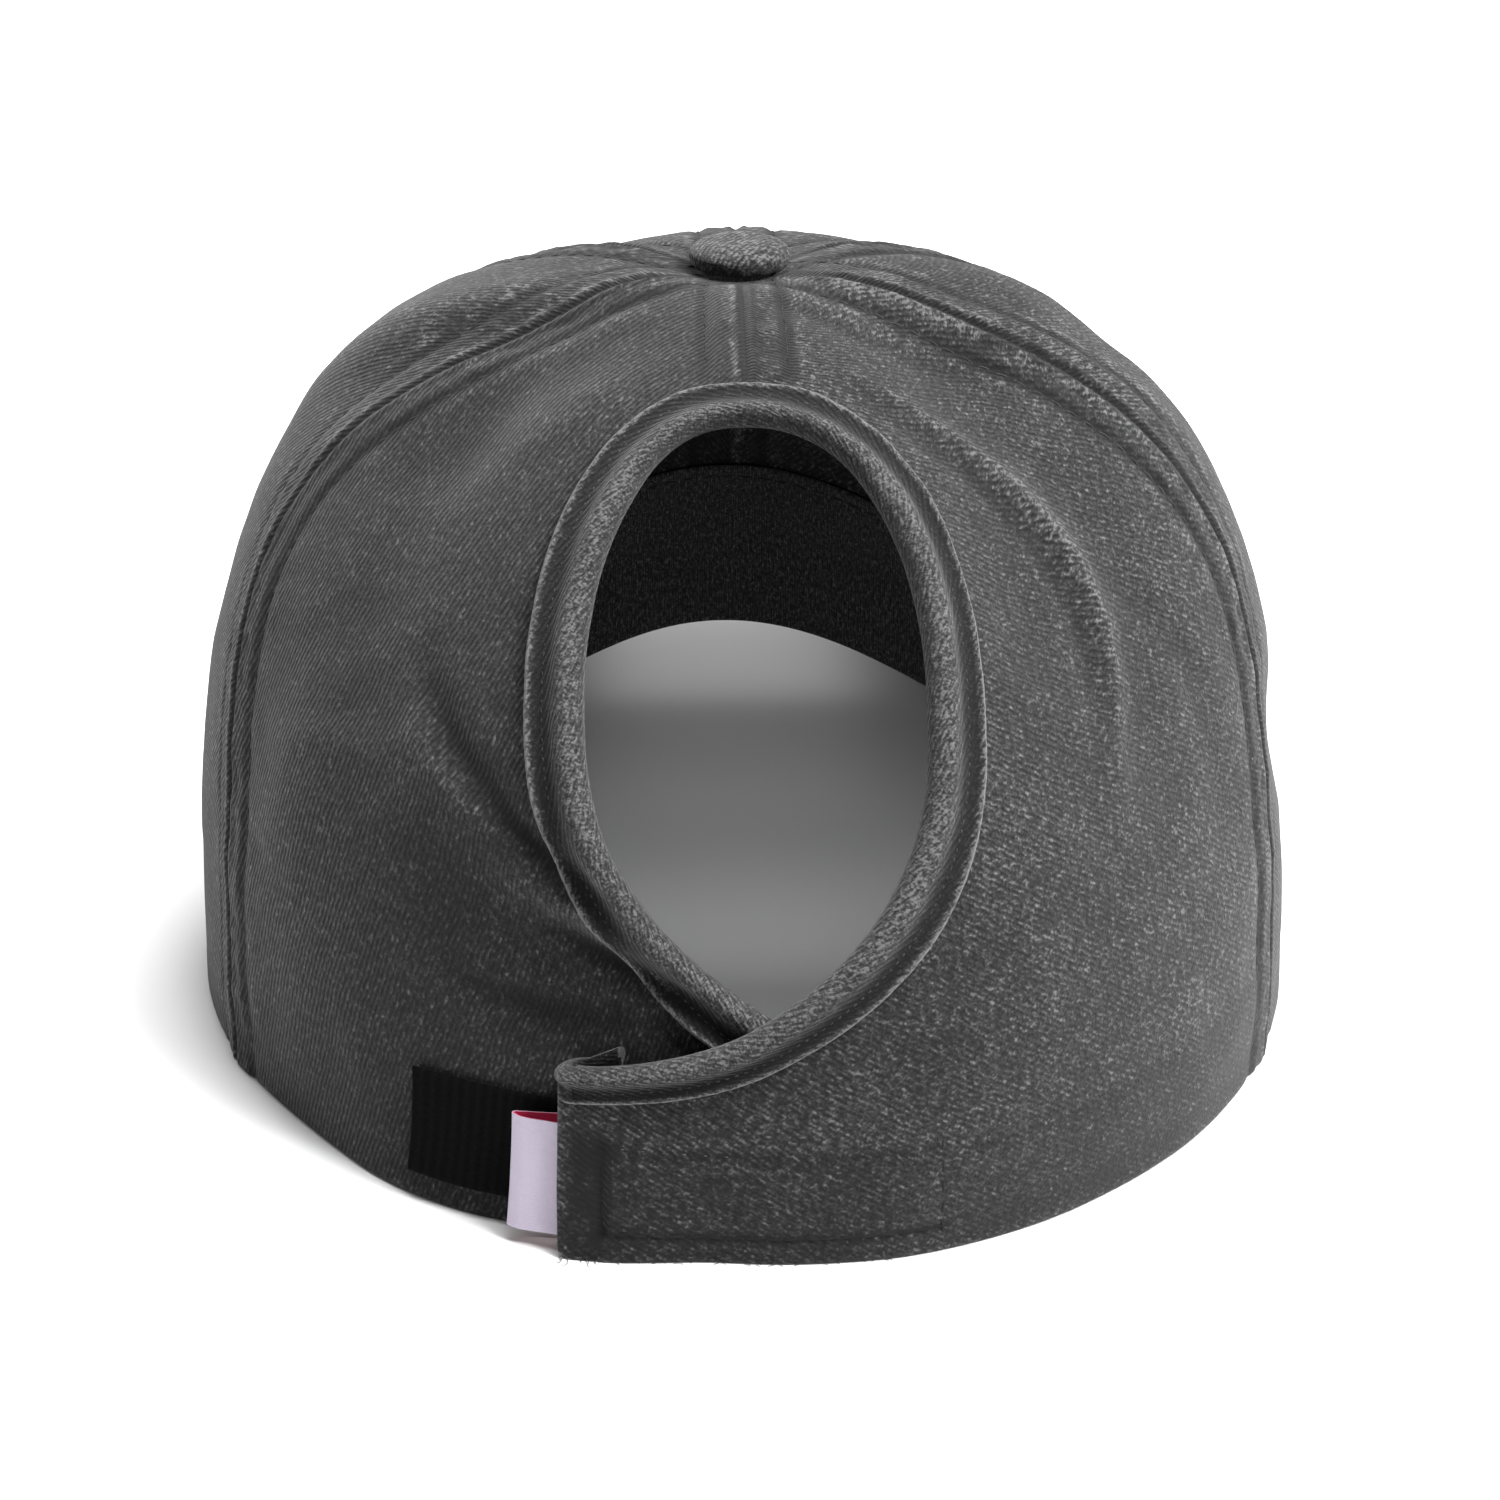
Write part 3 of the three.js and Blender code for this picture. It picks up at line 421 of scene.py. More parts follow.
@dataclass(frozen=True)
class Cloth:
    """The crown's cloth: form, folds, seams, wrinkles and the lift of its layers."""

    form: CrownForm = CrownForm()
    finish: SeamFinish = SeamFinish()
    thickness: float = 1.5
    folds: tuple[Fold, ...] = FOLDS
    fold_steps: int = 8
    tuck_depth: float = 6.1
    tuck_reach: tuple[float, float] = (60.0, 27.0)
    tuck_height: tuple[float, float] = (35.0, 62.0)
    tab_top: float = 26.0
    tab_reach: float = 28.4
    tab_lift: float = 1.0
    tab_lift_start: float = 2.0
    flare: float = 4.5
    flare_rise: tuple[float, float] = (4.0, 30.0)
    flare_fade: tuple[float, float] = (38.0, 68.0)
    dimple: float = 3.4
    dimple_reach: float = 14.0
    wrinkles: tuple[Wrinkle, ...] = (
        Wrinkle(26.0, 0.6, 0.2),
        Wrinkle(11.0, 0.3, 0.25),
        Wrinkle(4.6, 0.1, 0.25),
        Wrinkle(2.2, 0.02, 0.2),
    )
    edge_roll: float = 0.7
    worn_edge: float = 1.3

    def fold_line(self, fold: Fold) -> Array:
        """Points along a fold, from a curve through its three places."""
        start, middle, end = (np.array(place, float) for place in fold.path)
        t = np.linspace(0, 1, self.fold_steps + 1)[:, None]
        control = 2 * middle - (start + end) / 2
        places = (1 - t) ** 2 * start + 2 * t * (1 - t) * control + t**2 * end
        return self.form.point(places[:, 0], places[:, 1])

    def fold_relief(self, points: Array) -> tuple[Array, Array]:
        """Height of all the folds at points of the smooth form, and their tone: paler ridges as worn, darker
        creases as painted shade.
        """
        height, wear = np.zeros(points.shape[:-1]), np.zeros(points.shape[:-1])
        for fold in self.folds:
            line = self.fold_line(fold)
            best, along = np.full(height.shape, np.inf), np.zeros(height.shape)
            for step in range(self.fold_steps):
                start, run = line[step], line[step + 1] - line[step]
                share = np.clip(((points - start) @ run) / (run @ run), 0, 1)
                distance = np.linalg.norm(points - start - share[..., None] * run, axis=-1)
                nearer = distance < best
                best = np.where(nearer, distance, best)
                along = np.where(nearer, (step + share) / self.fold_steps, along)
            fade = np.sin(math.pi * np.clip(along, 0.04, 0.96)) ** 0.6
            height += fold.height * fade * bell(best, fold.width)
            # Raised folds are painted paler, as worn; sunken folds are painted darker, as painted shade in
            # the crease.
            wear += math.copysign(fold.wear, fold.height) * fade * bell(best, fold.width * 0.55)
        return height, wear

    def layer_offset(self, layer: Layer, points: Array) -> Array:
        """How far a layer stands out of the form."""
        if layer is Layer.PLAIN:
            return np.zeros(points.shape[:-1])
        right, height = -points[..., 0], points[..., 2]
        across = ease(-right, *self.flare_rise) * (1 - ease(-right, *self.flare_fade))
        flare = self.flare * across * np.maximum(1 - height / self.tab_top, 0) ** 2
        if layer is Layer.UNDER:
            near_rim = 1 - ease(height, *self.tuck_height)
            return flare - self.tuck_depth * ease(right, -self.tuck_reach[0], -self.tuck_reach[1]) * near_rim
        low = 1 - ease(height, self.tab_top, self.tuck_height[1])
        return flare + self.tab_lift * ease(-right, self.tab_lift_start, self.tab_reach) * low

    def dimple_at(self, distance: Array | float) -> Array:
        """Depth of the dimple that the button presses in, at a distance from the crown's top."""
        return self.dimple * np.exp(-((np.asarray(distance) / self.dimple_reach) ** 2))

    def wrinkle(self, points: Array) -> tuple[Array, Array]:
        """Height of the small uneven wrinkles, and their tone: paler where raised and darker where low, as
        worn paleness and painted shade.
        """
        height, wear = np.zeros(points.shape[:-1]), np.zeros(points.shape[:-1])
        for number, wrinkle in enumerate(self.wrinkles):
            noise = Rumple(11 + number).at(points, wrinkle.scale)
            height += wrinkle.height * noise
            wear += wrinkle.wear * noise
        return height, wear

    def surface(
        self,
        layer: Layer,
        turn: Array,
        rise: Array,
        depth: Array | float = 0.0,
        seams: Sequence[Seam] = (),
        extra: Callable[[Array], tuple[Array, Array]] | None = None,
    ) -> tuple[Array, Array]:
        """Points of a layer at a depth below its outer face, and their tone: worn paleness with painted light
        and shade.

        Args:
            layer: Where the cloth lies.
            turn: Turns of the places.
            rise: Rises of the places.
            depth: Millimetres below the outer face, negative outside it.
            seams: Seams whose shape the cloth takes.
            extra: Further height and wear from the points of the form.

        Returns:
            Points, and tone from -1, dark, to 1, pale: worn paleness with painted light and shade from the
            relief.
        """
        turn, rise = np.broadcast_arrays(np.asarray(turn, float), np.asarray(rise, float))
        points = self.form.point(turn, rise)
        from_top = np.linalg.norm(points - np.array([0.0, -self.form.top_forward, self.form.height]), axis=-1)
        height, wear = self.fold_relief(points)
        calm = ease(self.form.climb(turn, rise), 0, 12)
        part, tone = self.wrinkle(points)
        height, wear = height + part * (0.35 + 0.65 * calm), wear + tone
        for seam in seams:
            middle = seam.turn(rise)
            across = (turn - middle) * self.form.per_degree(middle, rise)
            run = np.stack((self.form.climb(turn, rise), across, 9.0 + 0 * across + middle), axis=-1)
            pucker = 0.6 * Rumple(31).at(run, (self.finish.pucker_length, 6.0, 7.0))
            pucker = pucker + 0.6 * Rumple(32).at(run, (1.9, 2.6, 7.0))
            part, tone = self.finish.shape(across, pucker, seam.crisp)
            fade = ease(points[..., 2], seam.lowest, seam.lowest + 1.2) if seam.lowest else 1.0
            part = part * ease(from_top, 8.0, 20.0)
            height, wear = height + part * fade, wear + tone * fade
        if extra is not None:
            part, tone = extra(points)
            height, wear = height + part, wear + tone
        height = height + self.layer_offset(layer, points) - self.dimple_at(from_top)
        normal = self.form.normal(turn, rise)
        normal[..., 2] *= ease(self.form.climb(turn, rise), 0, 3)
        normal = unit(normal)
        return points + normal * (height - depth)[..., None], wear


@dataclass
class Grid:
    """Points of a cloth piece on a grid: two faces, cloth coordinates, and tone of worn paleness with painted
    light and shade.
    """

    outer: Array
    inner: Array
    cloth: Array
    wear: Array


@dataclass(frozen=True)
class Maker:
    """Turns arrays of points in the cap's own frame into finished objects."""

    shift: tuple[float, float, float]
    sharp_angle: float = 50.0

    def object(
        self,
        name: str,
        points: Array,
        faces: list,
        cloth: Array,
        wear: Array,
        lining: Array,
    ) -> bpy.types.Object:
        """A finished mesh object.

        Args:
            name: Name of the piece.
            points: Vertices in millimetres in the cap's own frame.
            faces: Faces as lists of vertex numbers, all facing one way.
            cloth: Cloth coordinates of the vertices in millimetres.
            wear: Tone of the vertices, worn paleness with painted light and shade.
            lining: 1 on the vertices that face the head.

        Returns:
            The object, linked into the scene.
        """
        if self.volume(points, faces) < 0:
            faces = [list(reversed(face)) for face in faces]
        mesh = bpy.data.meshes.new(name)
        mesh.from_pydata(((points + np.array(self.shift)) * METRE).tolist(), [], faces)
        mesh.validate()
        corners = np.zeros(len(mesh.loops), np.int32)
        mesh.loops.foreach_get("vertex_index", corners)
        layer = mesh.uv_layers.new(name="cloth")
        layer.data.foreach_set("uv", (cloth[corners] * METRE + 0.5).astype(np.float32).ravel())
        for key, values in (("wear", wear), ("lining", lining)):
            mesh.attributes.new(key, "FLOAT", "POINT").data.foreach_set("value", values.astype(np.float32))
        mesh.shade_smooth()
        mesh.set_sharp_from_angle(angle=math.radians(self.sharp_angle))
        made = bpy.data.objects.new(name, mesh)
        bpy.context.scene.collection.objects.link(made)
        return made

    @staticmethod
    def volume(points: Array, faces: list) -> float:
        """Signed volume inside the faces."""
        total = 0.0
        for size in sorted({len(face) for face in faces}):
            corners = points[np.array([face for face in faces if len(face) == size])]
            for step in range(1, size - 1):
                cross = np.cross(corners[:, step], corners[:, step + 1])
                total += float(np.sum(corners[:, 0] * cross))
        return total

    def sheet(self, name: str, grid: Grid) -> bpy.types.Object:
        """Closed sheet between the two faces of a grid."""
        rows, columns = grid.wear.shape
        count = rows * columns
        at = np.arange(count).reshape(rows, columns)
        a, b, c, d = at[:-1, :-1], at[:-1, 1:], at[1:, 1:], at[1:, :-1]
        front = np.stack((a, b, c, d), axis=-1).reshape(-1, 4)
        back = np.stack((a, d, c, b), axis=-1).reshape(-1, 4) + count
        ring = np.concatenate((at[0, :], at[1:, -1], at[-1, -2::-1], at[-2:0:-1, 0]))
        after = np.roll(ring, -1)
        wall = np.stack((after, ring, ring + count, after + count), axis=-1)
        points = np.concatenate((grid.outer.reshape(-1, 3), grid.inner.reshape(-1, 3)))
        cloth = np.tile(grid.cloth.reshape(-1, 2), (2, 1))
        lining = np.concatenate((np.zeros(count), np.ones(count)))
        faces = np.concatenate((front, back, wall)).tolist()
        return self.object(name, points, faces, cloth, np.tile(grid.wear.ravel(), 2), lining)

    def rod(self, name: str, sections: Array, wear: Array, lining: Array) -> bpy.types.Object:
        """Closed rod through a list of sections of the same number of points."""
        stations, sides = sections.shape[:2]
        at, _, between = ring_faces(stations, sides)
        faces = between.tolist() + [at[0, ::-1].tolist(), at[-1].tolist()]
        along = run_along(sections.mean(axis=1))
        around = np.linalg.norm(np.diff(sections, axis=1), axis=-1).mean(axis=0)
        around = np.concatenate(([0], np.cumsum(around)))
        cloth = np.stack(np.broadcast_arrays(along[:, None], around[None, :]), axis=-1).reshape(-1, 2)
        return self.object(name, sections.reshape(-1, 3), faces, cloth, wear.ravel(), lining.ravel())

    def tubes(self, name: str, lines: Sequence[Array], radius: float, sides: int = 5) -> bpy.types.Object:
        """Thin round threads along open lines, in one object."""
        points: list[Array] = []
        faces: list[list[int]] = []
        start = 0
        for line in lines:
            ahead = unit(np.gradient(line, axis=0))
            cross = unit(np.cross(ahead, (0.13, 0.21, 0.97)))
            other = np.cross(ahead, cross)
            angles = np.arange(sides) * 2 * math.pi / sides
            taper = np.linspace(1.0, 0.45, len(line))[:, None, None] * radius
            ring = cross[:, None] * np.cos(angles)[:, None] + other[:, None] * np.sin(angles)[:, None]
            points.append((line[:, None] + ring * taper).reshape(-1, 3))
            at, _, between = ring_faces(len(line), sides)
            faces += (between + start).tolist()
            faces += [(at[0, ::-1] + start).tolist(), (at[-1] + start).tolist()]
            start += len(line) * sides
        every = np.concatenate(points)
        flat = np.zeros(len(every))
        return self.object(name, every, faces, every[:, :2], flat, flat)


def spaced(fine: float, fine_length: float, coarse: float, length: float) -> Array:
    """Stations from 0 to a length that crowd near 0."""
    near = np.array([0, 0.12, 0.35, 0.7])
    middle = np.arange(1.1, fine_length, fine)
    far = np.linspace(fine_length, length, max(int((length - fine_length) / coarse), 2))
    return np.concatenate((near, middle, far))


@dataclass
class CrownPanels:
    """The six panels of the crown, cut, felled and rested."""

    maker: Maker
    cloth: Cloth
    panel_tip: float = 0.96
    opening_top: float = 108.4
    opening_widest: float = 76.0
    opening_tip: float = 33.3
    opening_half_width: float = 27.6
    opening_powers: tuple[float, float] = (2.12, 2.6)
    tab_ease: tuple[float, float] = (8.0, 0.61)
    tab_reaches: dict[Side, float] = field(default_factory=lambda: {Side.RIGHT: 28.4, Side.LEFT: 25.0})
    fastener_box: tuple[float, float, float, float] = (-21.9, 26.0, 4.2, 17.0)
    pale_run: float = 17.0
    hem_rises: tuple[float, ...] = (0, 0.0008, 0.0025, 0.005, 0.008, 0.013, 0.02)
    first_rise: float = 0.027
    rows: int = 135
    back_run: float = 75.0
    side_width: float = 92.0
    front_width: float = 84.0
    uncut: float = 99.0

    def cloth_edge(self, side: Side) -> dict[str, Array]:
        """Places along a back panel's free edge, from the tab's end to the top.

        Args:
            side: Which back panel.

        Returns:
            Arrays of turn and rise, and the stations at which the tape starts and ends.
        """
        form, reach = self.cloth.form, self.tab_reaches[side]
        heights = spaced(0.8, 3.0, 1.0, self.cloth.tab_top)[:-1]
        slant = 1.2 * np.maximum(1 - heights / 18.0, 0) ** 2 + 1.2 * (1 - ease(heights, 0, 1.6)) ** 2
        parts = [(slant - reach, heights)]
        t = 1 - np.linspace(0, 1, 30)[:-1]
        bend = (-self.tab_ease[0], self.opening_tip - self.tab_ease[0] * self.tab_ease[1])
        parts.append((
            2 * t * (1 - t) * bend[0] - t * t * reach,
            (1 - t) ** 2 * self.opening_tip + 2 * t * (1 - t) * bend[1] + t * t * self.cloth.tab_top,
        ))
        share = np.linspace(0, 1, 105)
        parts.append(self.opening_edge(share))
        out = np.concatenate([part[0] for part in parts]) * side.value
        height = np.concatenate([part[1] for part in parts])
        turn, rise = form.place_on_back(out, np.minimum(height, self.opening_top))
        centre = np.linspace(rise[-1], self.panel_tip, 26)[1:]
        tape = np.array([len(heights), len(turn)])
        turn = np.concatenate((turn, np.zeros(centre.shape)))
        return {"turn": turn, "rise": np.concatenate((rise, centre)), "tape": tape}

    def opening_edge(self, share: Array) -> tuple[Array, Array]:
        """Reach and height of the opening's cloth edge, from its tip at 0 to its top at 1."""
        lower = (self.opening_widest - self.opening_tip) / (self.opening_top - self.opening_tip)
        t = np.clip(1 - share / lower, 0, 1)
        low_out = self.opening_half_width * (1 - t ** self.opening_powers[1])
        low_up = self.opening_widest - (self.opening_widest - self.opening_tip) * t
        angle = np.clip((share - lower) / (1 - lower), 0, 1) * math.pi / 2
        across = np.maximum(np.cos(angle), 0) ** (2 / self.opening_powers[0])
        up = np.sin(angle) ** (2 / self.opening_powers[0])
        high_up = self.opening_widest + (self.opening_top - self.opening_widest) * up
        is_low = share < lower
        return (
            np.where(is_low, low_out, self.opening_half_width * across),
            np.where(is_low, low_up, high_up),
        )

    def seam_rises(self, edge: dict[str, Array]) -> Array:
        """Rises along the side seam that go with the stations of a free edge."""
        run = run_along(self.cloth.form.point(edge["turn"], edge["rise"]))
        return self.panel_tip * run / run[-1]

    def tab_lines(self, points: Array) -> tuple[Array, Array]:
        """Height and tone of the stitched box on the upper tab: its stitch lines painted dark as painted
        shade in their grooves, a darker strip beside it, a darker inside and a paler band beside the rest.
        """
        low, high, bottom, top = self.fastener_box
        reach, height = -points[..., 0], points[..., 2]

        def beside(x: tuple[float, float], z: tuple[float, float]) -> Array:
            return np.hypot(reach - np.clip(reach, *x), height - np.clip(height, *z))

        noise = Rumple(41).at(points, 3.0)
        left = beside((low, low), (bottom, top))
        rest = np.minimum(beside((low, high), (top, top)), beside((high, high), (bottom, top)))
        rest = np.minimum(rest, beside((low, high), (bottom, bottom)))
        relief = -0.75 * bell(left, 0.8) - 0.2 * bell(rest, 0.8)
        strip = ease(low - reach, 0, 0.5) * (1 - ease(low - reach, 3.4, 5.2))
        strip = strip * (1 - ease(height, top, top + 3))
        # The stitch lines are painted dark, as painted shade in their grooves.
        wear = -(4.4 + 1.6 * noise) * bell(left, 0.8) - (0.7 + 0.6 * noise) * bell(rest, 0.8)
        wear = wear - (1.7 + 1.5 * noise) * strip
        inside = ease(reach, low, low + 1) * (1 - ease(height, top - 1, top))
        return relief + 0.15 * inside, wear - 0.45 * inside + 0.3 * bell(rest - 1.6, 0.9)

    def faces(
        self,
        layer: Layer,
        turn: Array,
        rise: Array,
        edge: Array,
        seams: Sequence[Seam],
        middle: float,
        extra: Callable | None = None,
    ) -> Grid:
        """Both faces of a panel over a grid of places.

        Args:
            layer: Where the cloth lies.
            turn: Turns of the grid.
            rise: Rises of the grid.
            edge: Distance to the panel's free edge, which is rolled.
            seams: Seams at the panel's sides.
            middle: Turn of the panel's middle, where its cloth coordinates start.
            extra: Further relief.

        Returns:
            The grid, with worn edges.
        """
        cloth, form = self.cloth, self.cloth.form
        climb = form.climb(turn, rise)
        near = np.minimum(edge, climb)
        roll = cloth.edge_roll * round_off(near, cloth.edge_roll)
        outer, wear = cloth.surface(layer, turn, rise, roll, seams, extra)
        inner, _ = cloth.surface(layer, turn, rise, cloth.thickness - roll, seams, extra)
        worn = 1.1 * bell(edge, cloth.worn_edge) + 0.6 * bell(climb, cloth.worn_edge) * (outer[..., 1] > -20)
        # Edges are painted paler, as worn, and a band about 3.6 mm in from them darker.
        wear = wear + worn * (0.8 + 0.6 * Rumple(51).at(outer, 3.0)) - 0.3 * bell(near - 3.6, 1.8)
        across = (turn - middle) * form.per_degree(turn, rise)
        return Grid(outer, inner, np.stack((-across, climb), axis=-1), wear)

    def back(self, name: str, side: Side, layer: Layer, seam: Seam) -> bpy.types.Object:
        """A back panel with its half of the opening and its closing tab."""
        form = self.cloth.form
        edge = self.cloth_edge(side)
        rises = self.seam_rises(edge)
        near, far = (spaced(0.5, 9.0, 1.25, run) / self.back_run for run in (40.0, 34.0))
        share = np.concatenate((near, 1 - far[::-1]))
        turns = mix(seam.turn(rises)[:, None], edge["turn"][:, None], share)
        climbs = mix(rises[:, None], edge["rise"][:, None], share)
        points = form.point(turns, climbs)
        run = np.cumsum(np.linalg.norm(np.diff(points, axis=1), axis=-1), axis=1)
        run = np.concatenate((np.zeros((len(rises), 1)), run), axis=1)
        free = run[:, -1:] - run
        free = np.where(np.arange(len(rises))[:, None] < edge["tape"][1], free, self.uncut)
        extra = self.tab_lines if side is Side.RIGHT else None
        grid = self.faces(layer, turns, climbs, free, (seam, CENTRE_BACK), 31.0 * side.value, extra)
        return self.maker.sheet(name, grid)

    def between(self, name: str, low: Seam, high: Seam, width: float) -> bpy.types.Object:
        """A panel between two seams, given in order of their turn."""
        rises = np.concatenate((self.hem_rises, np.linspace(self.first_rise, self.panel_tip, self.rows)))
        half = spaced(0.55, 9.0, 1.3, width / 2) / width
        share = np.concatenate((half, 1 - half[-2::-1]))
        turns = mix(low.turn(rises)[:, None], high.turn(rises)[:, None], share)
        climbs = np.broadcast_to(rises[:, None], turns.shape)
        middle = float((low.turn(np.array(0.3)) + high.turn(np.array(0.3))) / 2)
        edge = np.full(turns.shape, self.uncut)
        return self.maker.sheet(name, self.faces(Layer.PLAIN, turns, climbs, edge, (low, high), middle))

    def build(self) -> dict[str, bpy.types.Object]:
        """All six panels by the node that each replaces."""
        side, front = self.side_width, self.front_width
        return {
            "back_panel_right": self.back("right_back_cloth", Side.RIGHT, Layer.OVER, BACK_RIGHT),
            "back_panel_left": self.back("left_back_cloth", Side.LEFT, Layer.UNDER, BACK_LEFT),
            "side_panel_right": self.between("right_side_cloth", BACK_RIGHT, FRONT_RIGHT, side),
            "side_panel_left": self.between("left_side_cloth", FRONT_LEFT, BACK_LEFT, side),
            "front_panel_right": self.between("right_front_cloth", FRONT_RIGHT, CENTRE_FRONT_RIGHT, front),
            "front_panel_left": self.between("left_front_cloth", CENTRE_FRONT_LEFT, FRONT_LEFT, front),
        }

    def seam_rows(self) -> list[tuple[Array, Array]]:
        """Stitch rows beside every seam, as points and outward directions."""
        rows = []
        form, finish = self.cloth.form, self.cloth.finish
        for seam, layers in (
            (CENTRE_BACK, (Layer.OVER, Layer.UNDER)),
            (BACK_RIGHT, (Layer.OVER, Layer.PLAIN)),
            (BACK_LEFT, (Layer.PLAIN, Layer.UNDER)),
            (FRONT_RIGHT, (Layer.PLAIN, Layer.PLAIN)),
            (FRONT_LEFT, (Layer.PLAIN, Layer.PLAIN)),
            (CENTRE_FRONT_RIGHT, (Layer.PLAIN, Layer.PLAIN)),
        ):
            above_tape = float(form.place_on_back(0.0, self.opening_top + 4)[1])
            first = above_tape if seam.lowest else 0.02
            rises = np.linspace(first, 0.945, 160)
            for layer, way in zip(layers, (-1, 1) if seam is not CENTRE_BACK else (1, -1)):
                middle = seam.turn(rises)
                turn = middle + way * finish.row / form.per_degree(middle, rises)
                turn = whole_turn(turn)
                near = seam if seam is not CENTRE_FRONT_RIGHT or way < 0 else CENTRE_FRONT_LEFT
                points, _ = self.cloth.surface(layer, turn, rises, 0.0, (near,))
                rows.append((points, form.normal(turn, rises)))
        return rows

    def tab_rows(self, is_pale: bool) -> list[tuple[Array, Array]]:
        """Stitch rows of the box on the upper tab: the few pale dots, or the dark rest."""
        low, high, bottom, top = self.fastener_box
        dark_runs = (
            ((low, low), (bottom, top)),
            ((high, high), (top, bottom)),
            ((high, low), (bottom, bottom)),
        )
        pale_runs = (((low, low + self.pale_run), (top, top)),)
        rows = []
        for x, z in pale_runs if is_pale else dark_runs:
            reach, height = np.linspace(*x, 60), np.linspace(*z, 60)
            turn, rise = self.cloth.form.place_on_back(reach, height)
            points, _ = self.cloth.surface(Layer.OVER, turn, rise, 0.0, (), self.tab_lines)
            rows.append((points, self.cloth.form.normal(turn, rise)))
        return rows


@dataclass
class OpeningTape:
    """The folded tape round the opening: a rolled bead, a stitched groove and a flange."""

    maker: Maker
    cloth: Cloth
    panels: CrownPanels
    outline: tuple[tuple[float, float], ...] = (
        (-5.45, 0.12), (-5.7, 0.65), (-5.6, 1.25), (-5.2, 1.5), (-4.8, 1.3), (-4.45, 0.9),
        (-3.9, 0.62), (-3.2, 0.5), (-2.5, 0.55), (-1.8, 0.85), (-1.1, 1.45), (-0.4, 1.95),
        (0.4, 2.2), (1.2, 2.05), (1.9, 1.5), (2.5, 0.7), (2.8, -0.35), (2.65, -1.5),
        (2.1, -2.5), (1.1, -3.1), (0, -3.35), (-2.2, -3.25), (-4.4, -3.3), (-4.6, -2.7),
        (-4.4, -2.15), (-2.2, -2.1), (-0.2, -2.0), (0.25, -1.4), (0.3, -0.3), (0, 0.25),
        (-2.5, 0.3), (-5.0, 0.15),
    )
    groove: tuple[float, float] = (-3.1, 0.55)
    # Tone at each outline point: pale at the flange's outer edge, darkest in the stitched groove as painted
    # shade, paler again on top of the bead as worn.
    tones: tuple[float, ...] = (
        0.6, 1.8, 2.0, 1.6, 0.4, -1.1, -1.8, -2.1,
        -1.9, -1.2, -0.4, 0.2, 0.7, 0.9, 0.8, 0.3,
    )
    flange_point: int = 2
    bead_point: int = 14
    lined_points: tuple[int, int] = (19, 28)
    spine_point: int = 29
    slim_length: float = 26.0
    slim: float = 0.62
    flange_length: tuple[float, float] = (20.0, 62.0)
    flange_slim: float = 0.6
    top_slim: float = 0.62
    stitch_pitch: float = 1.4
    skipped: int = 2
    curl_radius: float = 2.5
    curl_run: float = 5.0
    curl_rise: float = 2.0
    curl_slim: float = 0.85
    flat_depth: float = 1.1
    curl_depth: float = 0.7
    curl_steps: int = 22
    run_steps: int = 12

    def path(self) -> list[tuple[Layer, Array, Array]]:
        """Places along the cloth's edge: the right half up to the top, then the left half down."""
        right, left = self.panels.cloth_edge(Side.RIGHT), self.panels.cloth_edge(Side.LEFT)
        first, last = right["tape"]
        first += self.skipped
        halves = [(Layer.OVER, right["turn"][first:last], right["rise"][first:last])]
        first, last = left["tape"]
        halves.append((Layer.UNDER, left["turn"][first:last - 1][::-1], left["rise"][first:last - 1][::-1]))
        return halves

    def step(self, turn: Array, rise: Array, way: Array, distance: Array) -> tuple[Array, Array]:
        """Places reached from others by steps across the crown."""
        form, small = self.cloth.form, self.cloth.form.slope_step
        per_turn = (form.point(turn + 1, rise) - form.point(turn - 1, rise)) / 2
        per_rise = (form.point(turn, rise + small) - form.point(turn, rise - small)) / (2 * small)
        pairs = ((per_turn, per_turn), (per_turn, per_rise), (per_rise, per_rise))
        aa, ab, bb = (np.sum(p * q, axis=-1) for p, q in pairs)
        da, db = np.sum(way * per_turn, axis=-1) * distance, np.sum(way * per_rise, axis=-1) * distance
        full = aa * bb - ab * ab
        return turn + (da * bb - db * ab) / full, rise + (db * aa - da * ab) / full

    def sections(self, outline: Array) -> tuple[Array, Array, Array]:
        """Points of an outline carried along the edge, with outward and forward directions."""
        halves = self.path()
        turn = np.concatenate([half[1] for half in halves])
        rise = np.concatenate([half[2] for half in halves])
        over = np.concatenate([np.full(len(half[1]), half[0] is Layer.OVER) for half in halves])
        form = self.cloth.form
        line = form.point(turn, rise)
        tangent = unit(np.gradient(line, axis=0))
        normal = form.normal(turn, rise)
        way = unit(np.cross(normal, tangent))
        made = np.zeros((len(turn), len(outline), 3))
        along = run_along(line)
        waver = 1 + 0.05 * np.sin(along * 2 * math.pi / self.stitch_pitch) + 0.06 * Rumple(61).at(line, 6.0)
        slim = mix(self.slim, 1.0, ease(along, 0, self.slim_length))
        slim = slim * mix(self.top_slim, 1.0, ease(self.panels.opening_top - line[:, 2], 0, 12.0))
        narrow = mix(self.flange_slim, 1.0, ease(along, *self.flange_length))
        for column, (out, height) in enumerate(outline):
            t, r = self.step(turn, rise, way, out * (slim if out > 0 else narrow))
            lift = height * (waver * slim if height > 0 else 1.0)
            for layer in (Layer.OVER, Layer.UNDER):
                points, _ = self.cloth.surface(layer, t, r, -lift)
                chosen = over if layer is Layer.OVER else ~over
                made[chosen, column] = points[chosen]
        return made, normal, tangent

    def wear(self, stations: int) -> Array:
        """Tone round the section at every station: a pale outer edge and a paler bead, as worn, and painted
        shade in the stitched groove.
        """
        base = np.zeros(len(self.outline))
        base[: len(self.tones)] = self.tones
        return np.tile(base, (stations, 1))

